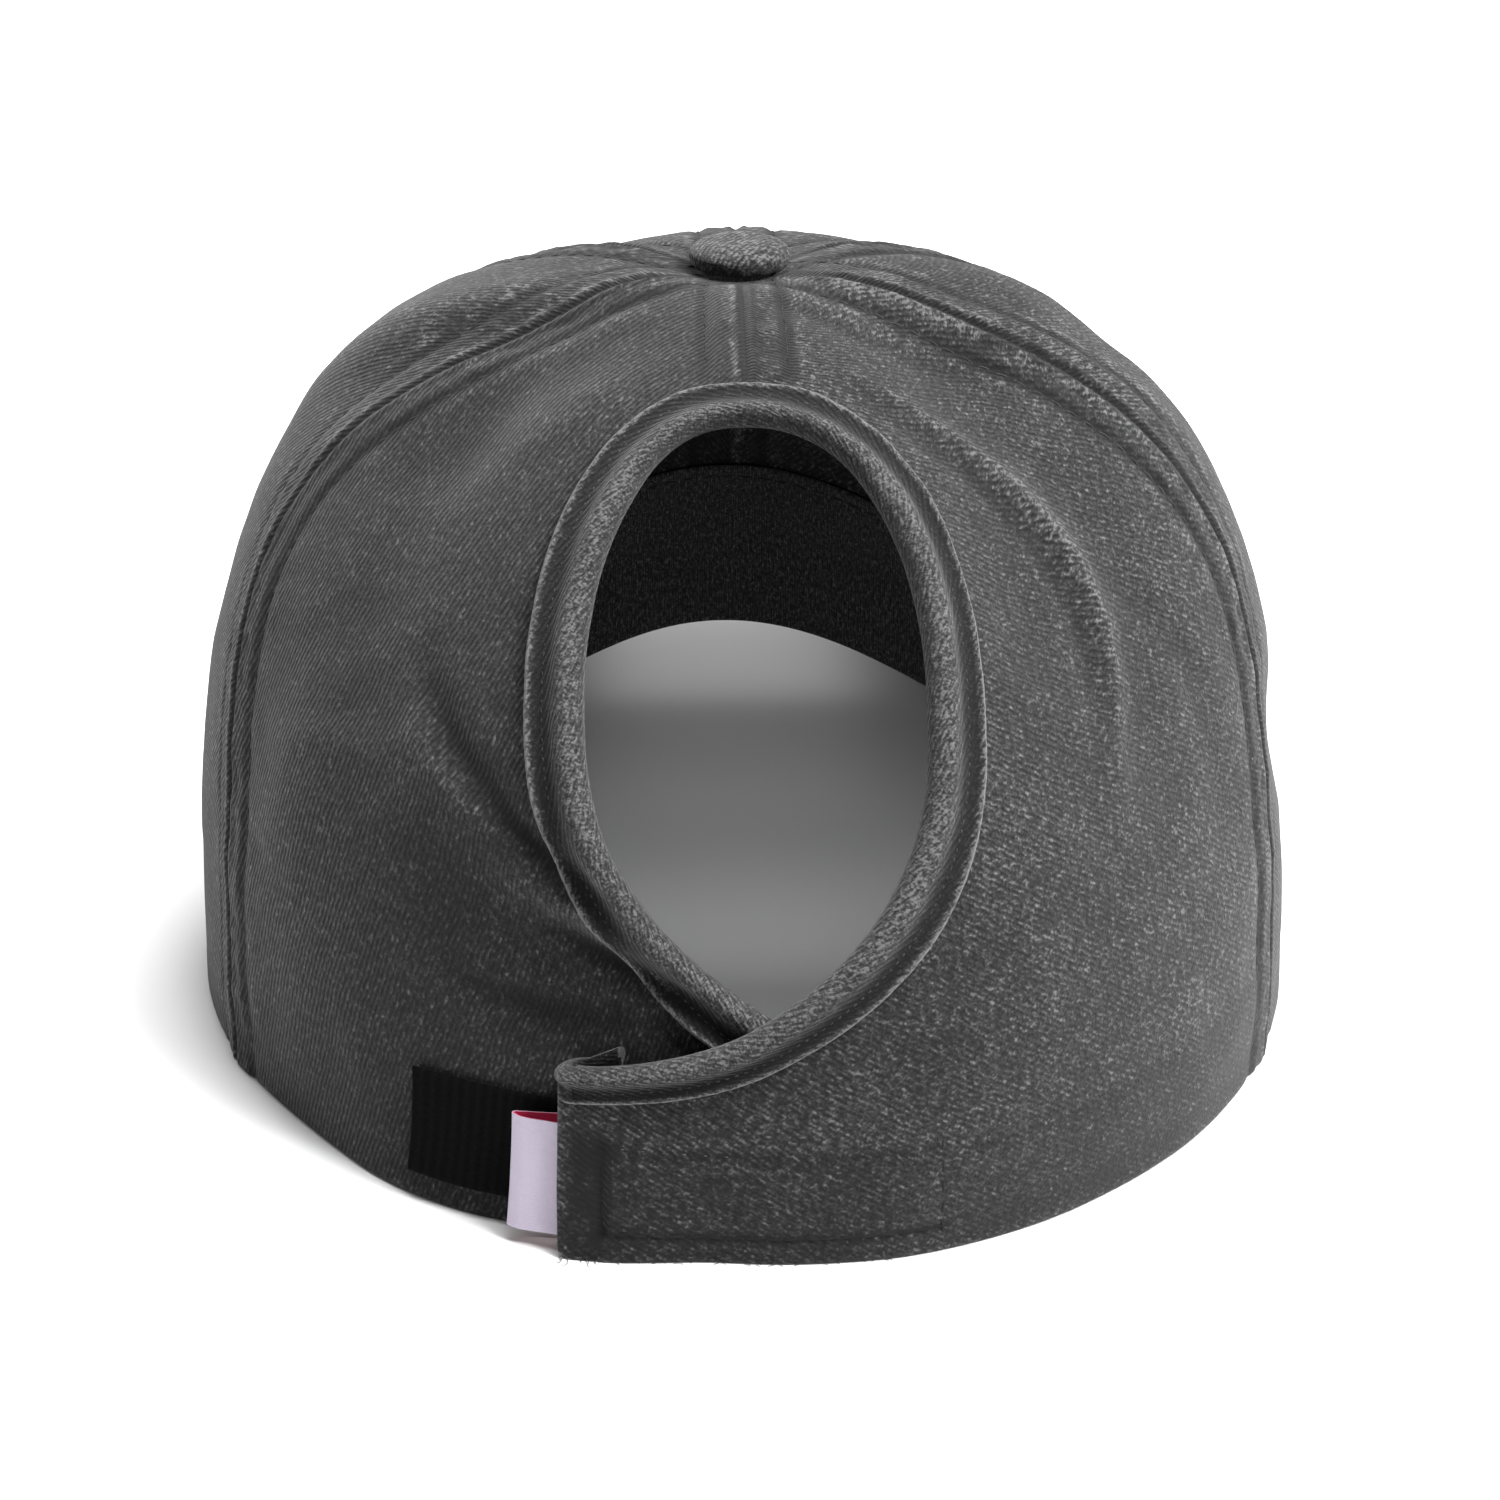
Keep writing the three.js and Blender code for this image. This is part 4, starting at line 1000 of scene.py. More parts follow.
    def curl(self, first: Array, outward: Array, ahead: Array) -> Array:
        """Sections of the tape's end, which turns back on itself behind the upper tab.

        Args:
            first: First section on the cloth.
            outward: Direction out of the cloth there.
            ahead: Direction along the edge there, away from the end.

        Returns:
            Sections from the hidden end to the first one.
        """
        outline = np.array(self.outline)
        spine = first[self.spine_point]
        span = first[self.bead_point] - first[self.flange_point]
        up = unit(span - np.dot(span, outward) * outward)
        back = -ahead
        made = []
        for step in range(1, self.curl_steps + self.run_steps + 1):
            turning = min(step / self.curl_steps, 1.0)
            angle = math.pi * turning
            run = max(step - self.curl_steps, 0) / self.run_steps * self.curl_run
            over = outward * math.cos(angle) + back * math.sin(angle)
            base = spine - outward * self.curl_radius * (1 - math.cos(angle))
            base = base + back * (self.curl_radius * math.sin(angle) - run)
            base = base + up * (self.curl_rise * run / self.curl_run)
            slim = mix(self.slim, self.curl_slim, turning)
            low = mix(-self.flat_depth, -self.curl_depth, turning)
            height = np.maximum(outline[:, 1] * np.where(outline[:, 1] > 0, slim, 1.0), low)
            out = outline[:, 0] * np.where(outline[:, 0] > 0, self.slim, self.flange_slim)
            made.append(base + up * out[:, None] + over * height[:, None])
        blend = np.linspace(0, 1, 4)[1:-1]
        flat = first + outward * (np.maximum(outline[:, 1], -self.flat_depth) - outline[:, 1])[:, None]
        lead = [mix(flat, first, share) + back * (0.5 * (1 - share)) for share in blend]
        return np.array(made[::-1] + lead)

    def build(self) -> bpy.types.Object:
        """The whole tape with its curled end."""
        outline = np.array(self.outline)
        sections, normal, tangent = self.sections(outline)
        curl = self.curl(sections[0], normal[0], tangent[0])
        every = np.concatenate((curl, sections))
        wear = self.wear(len(every)) + 0.25 * Rumple(62).at(every, 4.0)
        lining = np.zeros(every.shape[:2])
        lining[:, slice(*self.lined_points)] = 1.0
        return self.maker.rod("opening_tape", every, wear, lining)

    def rows(self) -> list[tuple[Array, Array]]:
        """The stitch row that runs in the groove."""
        sections, normal, _ = self.sections(np.array([self.groove]))
        count = len(self.path()[0][1])
        return [(sections[1:count, 0], normal[1:count]), (sections[count:, 0], normal[count:])]


@dataclass
class ClosingTabs:
    """Hook and loop tapes, the ribbon tag and the frayed corner of the upper tab."""

    maker: Maker
    cloth: Cloth
    loop_box: tuple[float, float, float, float] = (-50.5, 19.0, 4.2, 20.1)
    hook_box: tuple[float, float, float, float] = (-23.0, 24.0, 4.2, 17.1)
    tape_thickness: float = 1.0
    tape_gap: float = 0.35
    rib_pitch: float = 1.5
    tag_reach: float = 35.3
    tag_caught: float = 24.4
    tag_heights: tuple[float, float] = (2.4, 18.6)
    tag_opening: float = 3.2
    tag_rise: float = 1.6
    ribbon: float = 0.32
    tag_depth: float = 3.5
    corner_threads: tuple[tuple[float, float, float], ...] = (
        (-26.6, 0.3, 2.0),
        (-26.0, 0.2, 3.0),
        (-25.0, 0.2, 4.2),
        (-23.6, 0.2, 3.0),
        (-22.0, 0.2, 2.0),
    )

    @staticmethod
    def crowded(length: float, count: int) -> Array:
        """Stations along a length that crowd at both ends."""
        near = np.array([0, 0.1, 0.3, 0.6])
        return np.concatenate((near, np.linspace(1, length - 1, count), length - near[::-1]))

    def patch(self, name: str, layer: Layer, box: tuple, depth: float) -> bpy.types.Object:
        """A ribbed tape patch with soft edges.

        Args:
            name: Name of the piece.
            layer: The layer of cloth that it is sewn to.
            box: Lowest and highest reach and height.
            depth: Depth of its outer face below the layer's outer face.

        Returns:
            The patch.
        """
        width, height = box[1] - box[0], box[3] - box[2]
        x, z = np.meshgrid(self.crowded(width, 140), self.crowded(height, 30))
        near = np.minimum(np.minimum(x, width - x), np.minimum(z, height - z))
        roll = 0.45 * round_off(near, 0.6)
        ribs = 0.06 * np.cos(x * 2 * math.pi / self.rib_pitch) * ease(near, 0, 1)
        turn, rise = self.cloth.form.place_on_back(x + box[0], z + box[2])
        outer, _ = self.cloth.surface(layer, turn, rise, depth + roll + ribs)
        inner, _ = self.cloth.surface(layer, turn, rise, depth + self.tape_thickness - roll)
        return self.maker.sheet(name, Grid(outer, inner, np.stack((x, z), axis=-1), 0.6 * bell(near, 0.5)))

    def tag(self) -> bpy.types.Object:
        """The blank ribbon, folded back on itself and caught under the tab's end."""
        bend = np.linspace(-math.pi / 2, math.pi / 2, 15)
        nose = 0.55
        run = np.linspace(0, 1, 16)[:-1]
        hidden = self.tag_caught - 3.0

        def profile(sign: int) -> tuple[Array, Array]:
            reach = mix(self.tag_caught, self.tag_reach - nose, run)
            share = np.clip((reach - hidden) / (self.tag_reach - hidden), 0, 1)
            belly = np.sin(math.pi * share) ** 0.8
            half = mix(nose, self.tag_opening / 2, belly)
            return reach, sign * np.maximum(half, 0.3)

        front, back = profile(-1), profile(1)
        reach = np.concatenate((front[0], self.tag_reach - nose + nose * np.cos(bend), back[0][::-1]))
        depth = np.concatenate((front[1], nose * np.sin(bend), back[1][::-1]))
        line = np.stack((reach, depth), axis=-1)
        ahead = unit(np.gradient(line, axis=0))
        side = np.stack((-ahead[:, 1], ahead[:, 0]), axis=-1)
        heights = np.linspace(*self.tag_heights, 24)

        def face(offset: float) -> Array:
            place = line + side * offset
            reach_grid, height_grid = np.meshgrid(-place[:, 0], heights)
            slant = (height_grid - heights[0]) / (heights[-1] - heights[0])
            reach_grid = reach_grid + 0.5 * (1 - slant) * ease(-reach_grid, 30, 36)
            turn, rise = self.cloth.form.place_on_back(reach_grid, height_grid)
            outward = self.tag_rise * ease(-reach_grid, self.cloth.tab_reach, self.tag_reach)
            depth_grid = self.tag_depth + place[:, 1][None, :] - outward
            return self.cloth.surface(Layer.OVER, turn, rise, depth_grid)[0]

        x, z = np.meshgrid(run_along(line), heights - heights[0])
        wear = 0.5 * bell(np.minimum(z, z.max() - z), 0.5)
        outside, inside = face(-self.ribbon / 2), face(self.ribbon / 2)
        middle = face(0.0).mean(axis=(0, 1))
        if np.linalg.norm(outside - middle, axis=-1).sum() < np.linalg.norm(inside - middle, axis=-1).sum():
            outside, inside = inside, outside
        return self.maker.sheet("side_ribbon", Grid(outside, inside, np.stack((x, z), axis=-1), wear))

    def frays(self) -> bpy.types.Object:
        """Loose thread ends at the lower corner of the upper tab and along its edges."""
        random = np.random.default_rng(71)
        lines = []
        roots = list(self.corner_threads)
        roots += [(random.uniform(-26, 20), 0.2, random.uniform(0.7, 1.8)) for _ in range(26)]
        for reach, height, length in roots:
            turn, rise = self.cloth.form.place_on_back(reach, height)
            start, _ = self.cloth.surface(Layer.OVER, turn, rise, 0.35)
            normal = self.cloth.form.normal(turn, rise)
            across = unit(np.cross(normal, (0, 0, 1.0)))
            way = random.uniform(-1, 1)
            t = np.linspace(0, 1, 9)[:, None]
            drift = across * way * length * 0.7 * t + normal * length * (0.75 * t - 0.15 * t**2)
            curl = across * np.sin(t * 5 + way * 3) * length * 0.12
            fall = np.array([0, 0, 1.0]) * (0.5 * t * (1 - t) * length * 0.3 - 0.06 * t)
            line = start + drift + curl + fall
            line[:, 2] = np.maximum(line[:, 2], 0.1)
            lines.append(line)
        return self.maker.tubes("frayed_threads", lines, 0.085)

    def build(self) -> dict[str, bpy.types.Object]:
        """Every piece by the node that it replaces, or by its own name."""
        loop = self.patch("loop_tape", Layer.UNDER, self.loop_box, -self.tape_gap - self.tape_thickness)
        hook = self.patch("hook_tape", Layer.OVER, self.hook_box, self.cloth.thickness + self.tape_gap)
        return {"loop_patch": loop, "hook_patch": hook, "side_tag": self.tag(), "frays": self.frays()}


@dataclass
class VisorCover:
    """The curved visor: covered board with stitch rows that follow its edge."""

    maker: Maker
    cloth: Cloth
    half_width: float = 77.5
    projection: float = 68.0
    thickness: float = 3.4
    front_drop: float = 12.0
    outline_power: float = 2.35
    end_taper: float = 5.0
    taper_share: float = 0.4
    gap: float = 0.5
    rows: int = 7
    first_row: float = 4.0
    row_pitch: float = 6.2
    columns: int = 150

    def inner(self, share: Array) -> Array:
        """Points of the inner edge, under the rim."""
        form = self.cloth.form
        end = math.degrees(math.asin(form.visor_half_span / form.half_width))
        turn = whole_turn(180 - end * share)
        flat = form.normal(turn, np.zeros(share.shape))
        flat[..., 2] = 0
        points = form.point(turn, np.zeros(share.shape)) - unit(flat) * self.cloth.thickness
        points[..., 2] = form.rim_height(turn) - self.gap - self.thickness
        return points

    def outer(self, share: Array) -> Array:
        """Points of the free edge."""
        form = self.cloth.form
        corner = self.inner(np.array([1.0]))[0]
        angle = np.abs(share) * math.pi / 2
        depth = np.maximum(np.cos(angle), 0) ** (2 / self.outline_power)
        taper = self.end_taper * (1 - ease(depth, 0, self.taper_share))
        across = np.sign(share) * (self.half_width * np.sin(angle) ** (2 / self.outline_power) - taper)
        length = self.projection + form.front_length + corner[1]
        centre = form.front_lift + form.arch_height - self.gap - self.thickness - self.front_drop
        resting = self.half_width - self.end_taper / 2
        height = centre * np.maximum(0, 1 - (across / resting) ** 2)
        return np.stack((-across, corner[1] - length * depth, height), axis=-1)

    def under(self, share: Array, out: Array) -> Array:
        """Points of the underside."""
        return mix(self.inner(share), self.outer(share), out[..., None])

    def faces(self, share: Array, out: Array) -> tuple[Array, Array, Array]:
        """Points of the underside, upward directions, and the distance to the free edge."""
        small = 0.01
        low = self.under(share, out)
        left, right = np.clip(share - small, -1, 1), np.clip(share + small, -1, 1)
        near, far = np.clip(out - small, 0, 1), np.clip(out + small, 0, 1)
        along = self.under(right, out) - self.under(left, out)
        away = self.under(share, far) - self.under(share, near)
        normal = unit(np.cross(along, away))
        normal = np.where(normal[..., 2:] < 0, -normal, normal)
        upright = 1 - ease(out, 0, 0.08)[..., None]
        normal = unit(mix(normal, np.array([0, 0, 1.0]), upright))
        edge = np.linalg.norm(self.outer(share) - low, axis=-1)
        return low, normal, edge

    def grooves(self, edge: Array, out: Array) -> Array:
        """How near each place is to a stitch row, from 0 to 1."""
        near = np.zeros(edge.shape)
        for row in range(self.rows):
            near = np.maximum(near, bell(edge - self.first_row - row * self.row_pitch, 0.8))
        return near * ease(out, 0.02, 0.12)

    def build(self) -> bpy.types.Object:
        """The covered visor."""
        share = np.sin(np.linspace(-1, 1, self.columns) * math.pi / 2)
        share = mix(np.linspace(-1, 1, self.columns), share, 0.35)
        out = 1 - spaced(0.9, 8.0, 1.1, self.projection)[::-1] / self.projection
        s, o = np.meshgrid(share, out)
        low, normal, edge = self.faces(s, o)
        roll = self.thickness / 2
        sink = 0.94 * roll * round_off(edge, roll)
        stitched = self.grooves(edge, o)
        noise = Rumple(81).at(low, 5.0)
        outer = low + normal * (self.thickness - sink - 0.3 * stitched + 0.06 * noise)[..., None]
        inner = low + normal * (sink + 0.25 * stitched)[..., None]
        # Tone: the free edge is paler, as worn; the stitch grooves are darker and the inner edge under the
        # rim is dark, both painted shade.
        wear = 0.9 * bell(edge, 1.5) - 0.55 * stitched + 0.25 * noise + 0.2 * Rumple(82).at(low, 14.0)
        wear = wear + 0.25 * bell(edge - self.first_row / 2, 1.0) - 2.6 * bell(o, 0.12)
        return self.maker.sheet("visor_cover", Grid(outer, inner, low[..., :2].copy(), wear))

    def stitch_rows(self) -> list[tuple[Array, Array]]:
        """Stitch rows on both faces, by bisection for the place at each distance from the edge."""
        rows = []
        share = np.linspace(-0.985, 0.985, 200)
        for row in range(self.rows):
            wanted = self.first_row + row * self.row_pitch
            low, high = np.zeros(share.shape), np.ones(share.shape)
            for _ in range(24):
                middle = (low + high) / 2
                far = self.faces(share, middle)[2] > wanted
                low, high = np.where(far, middle, low), np.where(far, high, middle)
            place = (low + high) / 2
            under, normal, _ = self.faces(share, place)
            kept = place > 0.12
            for depth, way in ((self.thickness - 0.3, 1.0), (0.25, -1.0)):
                rows.append(((under + normal * depth)[kept], normal[kept] * way))
        return rows


@dataclass
class InnerBand:
    """The sweatband inside the rim."""

    maker: Maker
    cloth: Cloth
    height: float = 28.0
    thickness: float = 1.0
    gap: float = 0.6
    lift: float = 1.0
    front_drop: float = 4.6
    ends: tuple[float, float] = (31.0, 66.0)
    row_inset: float = 2.2
    length: float = 520.0
    columns: int = 420
    rows: int = 26

    def places(self, share: Array, up: Array) -> tuple[Array, Array]:
        """Turn and rise of places on the band."""
        form = self.cloth.form
        start = float(form.place_on_back(self.ends[0], 0.0)[0])
        end = 360 + float(form.place_on_back(-self.ends[1], 0.0)[0])
        turn = whole_turn(mix(start, end, share))
        step = form.point(turn, form.slope_step + 0 * turn) - form.point(turn, 0 * turn)
        per_rise = np.linalg.norm(step, axis=-1) / form.slope_step
        return turn, (self.lift + self.height * up) / per_rise

    def lowered(self, points: Array, turn: Array, up: Array) -> Array:
        """Points of the band with its lower edge drawn down over the visor's inner edge."""
        drop = self.front_drop * ease(np.abs(turn), 112, 140) * (1 - ease(up, 0.0, 0.5))
        return points - drop[..., None] * np.array([0, 0, 1.0])

    def build(self) -> bpy.types.Object:
        """The band, with turned edges."""
        first, last = [0, 0.0003, 0.001], [0.999, 0.9997, 1]
        share = np.concatenate((first, np.linspace(0.002, 0.998, self.columns), last))
        up = np.concatenate(([0, 0.006, 0.02], np.linspace(0.04, 0.96, self.rows), [0.98, 0.994, 1]))
        s, u = np.meshgrid(share, up)
        turn, rise = self.places(s, u)
        near = np.minimum(u, 1 - u) * self.height
        roll = 0.42 * round_off(near, 0.5)
        row = 0.18 * bell(near - self.row_inset, 0.6)
        depth = self.cloth.thickness + self.gap
        ripple = 0.15 * Rumple(91).at(self.cloth.form.point(turn, rise), 7.0) * ease(near, 0, 4)
        outer, _ = self.cloth.surface(Layer.PLAIN, turn, rise, depth + roll)
        depth = depth + self.thickness - roll - row + ripple
        inner, wear = self.cloth.surface(Layer.PLAIN, turn, rise, depth)
        outer, inner = self.lowered(outer, turn, u), self.lowered(inner, turn, u)
        across = np.linspace(0, 1, len(share)) * self.length
        cloth = np.stack(np.broadcast_arrays(across[None, :], (u * self.height)), axis=-1)
        return self.maker.sheet("inner_band", Grid(outer, inner, cloth, 0.3 * wear))

    def stitch_rows(self) -> list[tuple[Array, Array]]:
        """The stitch row along the band's upper edge, on its face to the head."""
        share = np.linspace(0.005, 0.995, 420)
        turn, rise = self.places(share, np.full(share.shape, 1 - self.row_inset / self.height))
        depth = self.cloth.thickness + self.gap + self.thickness - 0.15
        points, _ = self.cloth.surface(Layer.PLAIN, turn, rise, depth)
        return [(points, -self.cloth.form.normal(turn, rise))]


@dataclass
class CoveredButton:
    """The cloth-covered button over the point where the panels meet."""

    maker: Maker
    cloth: Cloth
    radius: float = 8.0
    height: float = 4.3
    belly: float = 2.3
    shank: float = 4.4
    shank_depth: float = 2.0
    lift: float = 0.3
    sides: int = 96
    tucks: int = 15
    lowest_angle: float = 62.0

    def build(self) -> bpy.types.Object:
        """The button, its cover drawn under at the edge."""
        low = np.linspace(-self.lowest_angle, 0, 12)
        high = np.linspace(0, 90, 26)[1:-1]
        reach = [0.6, self.shank * 0.6, self.shank, self.shank, self.shank + 0.6]
        rise = [-self.shank_depth, -self.shank_depth, -self.shank_depth + 0.2, -0.1, 0.1]
        for angle in low:
            reach.append(self.radius * math.cos(math.radians(angle)) ** 0.2)
            share = math.sin(math.radians(angle)) / math.sin(math.radians(self.lowest_angle))
            rise.append(self.belly * (1 + share) + 0.12)
        for angle in high:
            reach.append(self.radius * math.cos(math.radians(angle)) ** 0.48)
            rise.append(mix(self.belly, self.height, math.sin(math.radians(angle)) ** 1.25))
        reach, rise = np.array(reach), np.array(rise)
        angle = np.arange(self.sides) * 2 * math.pi / self.sides
        ring = np.stack((np.cos(angle), np.sin(angle)), axis=-1)
        upright = np.broadcast_to(rise[:, None, None], (len(reach), self.sides, 1))
        points = np.concatenate((reach[:, None, None] * ring, upright), axis=-1)
        noise = Rumple(101).at(points, 3.2)
        tuck = bell(points[..., 2] - 0.4, 1.0) * np.cos(angle * self.tucks + 2 * noise)
        scale = 1 + 0.012 * noise + 0.018 * tuck
        points[..., :2] *= scale[..., None]
        is_top = (reach < self.radius * 0.8) & (rise > 3)
        points[..., 2] += 0.16 * Rumple(102).at(points, 4.0) * is_top[:, None]
        line = run_along(np.stack((reach, rise), axis=-1)[::-1])[::-1] + reach[-1]
        cloth = (line[:, None, None] * ring).reshape(-1, 2)
        count, sides = len(reach), self.sides
        at, near, between = ring_faces(count, sides)
        faces = between.tolist()
        flat = points.reshape(-1, 3)
        flat = np.concatenate((flat, [[0, 0, -self.shank_depth], [0, 0, self.height]]))
        foot, crown = count * sides, count * sides + 1
        faces += [[foot, int(near[0, i]), int(at[0, i])] for i in range(sides)]
        faces += [[crown, int(at[-1, i]), int(near[-1, i])] for i in range(sides)]
        form = self.cloth.form
        base = form.height + self.lift - float(self.cloth.dimple_at(self.radius))
        flat = flat + np.array([0, -form.top_forward, base])
        up = np.repeat(rise, sides)
        # Painted light and shade: the cover is painted paler on top and dark low down where it meets the
        # crown.
        wear = 0.45 * ease(up, 1.0, 4.0) - 0.9 * (1 - ease(up, 0.2, 1.2))
        wear = np.concatenate((wear + 0.2 * noise.ravel(), [0, 0.4]))
        cloth = np.concatenate((cloth, [[0, 0], [0, 0]]))
        return self.maker.object("button_cover", flat, faces, cloth, wear, np.zeros(len(flat)))


@dataclass(frozen=True)
class StitchStyle:
    """One kind of stitching: lengths in millimetres."""

    name: str
    pitch: float
    length: float
    radius: float
    arch: float
    sink: float
    slot: str


SEAM_STITCH = StitchStyle("seam_stitches", 3.0, 2.3, 0.17, 0.26, 0.2, "twill")
TAPE_STITCH = StitchStyle("tape_stitches", 1.4, 0.45, 0.1, 0.14, 0.08, "binding_twill")
TAB_DOT = StitchStyle("tab_dots", 2.6, 0.5, 0.11, 0.16, 0.08, "twill")
TAB_STITCH = StitchStyle("tab_stitches", 2.7, 2.3, 0.24, 0.2, 0.12, "twill")
VISOR_STITCH = StitchStyle("visor_stitches", 3.2, 2.4, 0.18, 0.26, 0.2, "twill")
BAND_STITCH = StitchStyle("band_stitches", 3.4, 2.5, 0.17, 0.24, 0.2, "band_cotton")


@dataclass
class StitchMachine:
    """Sews rows of stitches with Geometry Nodes."""

    maker: Maker
    seed: int = 7

    def tree(self) -> bpy.types.NodeTree:
        """The node tree that lays an arched thread at each step of every row.

        Returns:
            A tree whose inputs are the row, pitch, length, radius, arch, sink, seed and material.
        """
        tree = bpy.data.node_groups.new("stitch_rows", "GeometryNodeTree")
        face = tree.interface
        face.new_socket("Geometry", in_out="INPUT", socket_type="NodeSocketGeometry")
        for label in ("Pitch", "Length", "Radius", "Arch", "Sink"):
            face.new_socket(label, in_out="INPUT", socket_type="NodeSocketFloat")
        face.new_socket("Seed", in_out="INPUT", socket_type="NodeSocketInt")
        face.new_socket("Material", in_out="INPUT", socket_type="NodeSocketMaterial")
        face.new_socket("Geometry", in_out="OUTPUT", socket_type="NodeSocketGeometry")
        links = tree.links
        node = partial(add_node, tree)
        given = node("NodeGroupInput").outputs
        curve = node("GeometryNodeMeshToCurve", inputs={"Mesh": given["Geometry"]})
        steps = node(
            "GeometryNodeResampleCurve",
            {"mode": "LENGTH"},
            {"Curve": curve.outputs[0], "Length": given["Pitch"]},
        )
        outward = node("GeometryNodeInputNamedAttribute", {"data_type": "FLOAT_VECTOR"}, {"Name": "outward"})
        along = node("GeometryNodeInputTangent")
        ahead = node("FunctionNodeAlignRotationToVector", {"axis": "X"}, {"Vector": along.outputs[0]})
        upright = node(
            "FunctionNodeAlignRotationToVector",
            {"axis": "Z", "pivot_axis": "X"},
            {"Rotation": ahead.outputs[0], "Vector": outward.outputs[0]},
        )
        chance = node("FunctionNodeRandomValue", {"data_type": "FLOAT"}, {"Seed": given["Seed"]})
        chance.inputs[2].default_value, chance.inputs[3].default_value = -0.16, 0.16
        lean = node("ShaderNodeCombineXYZ", inputs={"Z": chance.outputs[1]})
        turned = node(
            "FunctionNodeRotateRotation",
            {"rotation_space": "LOCAL"},
            {"Rotation": upright.outputs[0]},
        )
        links.new(lean.outputs[0], turned.inputs[1])
        half = node("ShaderNodeMath", {"operation": "MULTIPLY"}, {0: given["Length"], 1: 0.5})
        less = node("ShaderNodeMath", {"operation": "MULTIPLY"}, {0: half.outputs[0], 1: -1.0})
        below = node("ShaderNodeMath", {"operation": "MULTIPLY"}, {0: given["Sink"], 1: -1.0})
        start = node("ShaderNodeCombineXYZ", inputs={"X": less.outputs[0], "Z": below.outputs[0]})
        middle = node("ShaderNodeCombineXYZ", inputs={"Z": given["Arch"]})
        end = node("ShaderNodeCombineXYZ", inputs={"X": half.outputs[0], "Z": below.outputs[0]})
        thread = node(
            "GeometryNodeCurveQuadraticBezier",
            inputs={
                "Resolution": 5,
                "Start": start.outputs[0],
                "Middle": middle.outputs[0],
                "End": end.outputs[0],
            },
        )
        ring = node(
            "GeometryNodeCurvePrimitiveCircle",
            {"mode": "RADIUS"},
            {"Resolution": 6, "Radius": given["Radius"]},
        )
        stitch = node(
            "GeometryNodeCurveToMesh",
            inputs={"Curve": thread.outputs[0], "Profile Curve": ring.outputs[0], "Fill Caps": True},
        )
        placed = node(
            "GeometryNodeInstanceOnPoints",
            inputs={"Points": steps.outputs[0], "Instance": stitch.outputs[0], "Rotation": turned.outputs[0]},
        )
        real = node("GeometryNodeRealizeInstances", inputs={"Geometry": placed.outputs[0]})
        dressed = node(
            "GeometryNodeSetMaterial",
            inputs={"Geometry": real.outputs[0], "Material": given["Material"]},
        )
        links.new(dressed.outputs[0], node("NodeGroupOutput").inputs[0])
        return tree

    def sew(
        self,
        style: StitchStyle,
        rows: Sequence[tuple[Array, Array]],
        material: bpy.types.Material,
    ) -> bpy.types.Object:
        """One object with every stitch of some rows.

        Args:
            style: Kind of stitching.
            rows: Points and outward directions of each row.
            material: The thread's material.

        Returns:
            A plain mesh object.
        """
        points = np.concatenate([row[0] for row in rows])
        outward = np.concatenate([unit(row[1]) for row in rows])
        edges, start = [], 0
        for row, _ in rows:
            edges += [(start + i, start + i + 1) for i in range(len(row) - 1)]
            start += len(row)
        mesh = bpy.data.meshes.new(style.name + "_rows")
        mesh.from_pydata(((points + np.array(self.maker.shift)) * METRE).tolist(), edges, [])
        directions = mesh.attributes.new("outward", "FLOAT_VECTOR", "POINT")
        directions.data.foreach_set("vector", outward.astype(np.float32).ravel())
        source = bpy.data.objects.new(style.name + "_rows", mesh)
        bpy.context.scene.collection.objects.link(source)
        tree = bpy.data.node_groups.get("stitch_rows") or self.tree()
        sewing = source.modifiers.new("sewing", "NODES")
        sewing.node_group = tree
        values = {
            "Pitch": style.pitch * METRE,
            "Length": style.length * METRE,
            "Radius": style.radius * METRE,
            "Arch": style.arch * METRE,
            "Sink": style.sink * METRE,
            "Seed": self.seed,
            "Material": material,
        }
        for item in tree.interface.items_tree:
            if item.in_out == "INPUT" and item.name in values:
                sewing[item.identifier] = values[item.name]
        bpy.context.view_layer.update()
        evaluated = source.evaluated_get(bpy.context.evaluated_depsgraph_get())
        sewn = bpy.data.meshes.new_from_object(evaluated)
        sewn.name = style.name
        sewn.shade_smooth()
        made = bpy.data.objects.new(style.name, sewn)
        bpy.context.scene.collection.objects.link(made)
        bpy.data.objects.remove(source)
        return made


class Shade:
    """A shader value that takes part in Python arithmetic by adding Math nodes."""

    def __init__(self, bench: "Bench", socket: bpy.types.NodeSocket) -> None:
        """Wraps a socket of a bench's tree."""
        self.bench = bench
        self.socket = socket

    def maths(self, operation: str, *others: "Shade | float") -> "Shade":
        """The result of a Math node on this value and others."""
        values = {number + 1: other for number, other in enumerate(others)}
        made = self.bench.node("ShaderNodeMath", {"operation": operation}, {0: self, **values})
        return Shade(self.bench, made.outputs[0])

    def __add__(self, other: "Shade | float") -> "Shade":
        """Sum."""
        return self.maths("ADD", other)

    __radd__ = __add__

    def __mul__(self, other: "Shade | float") -> "Shade":
        """Product."""
        return self.maths("MULTIPLY", other)

    __rmul__ = __mul__

    def __sub__(self, other: "Shade | float") -> "Shade":
        """Difference."""
        return self.maths("SUBTRACT", other)

    def __rsub__(self, other: float) -> "Shade":
        """Difference from a number."""
        return self.maths("MULTIPLY", -1.0) + other

    def sine(self) -> "Shade":
        """Sine of the value."""
        return self.maths("SINE")

    def clipped(self) -> "Shade":
        """The value kept between 0 and 1."""
        return self.maths("MINIMUM", 1.0).maths("MAXIMUM", 0.0)


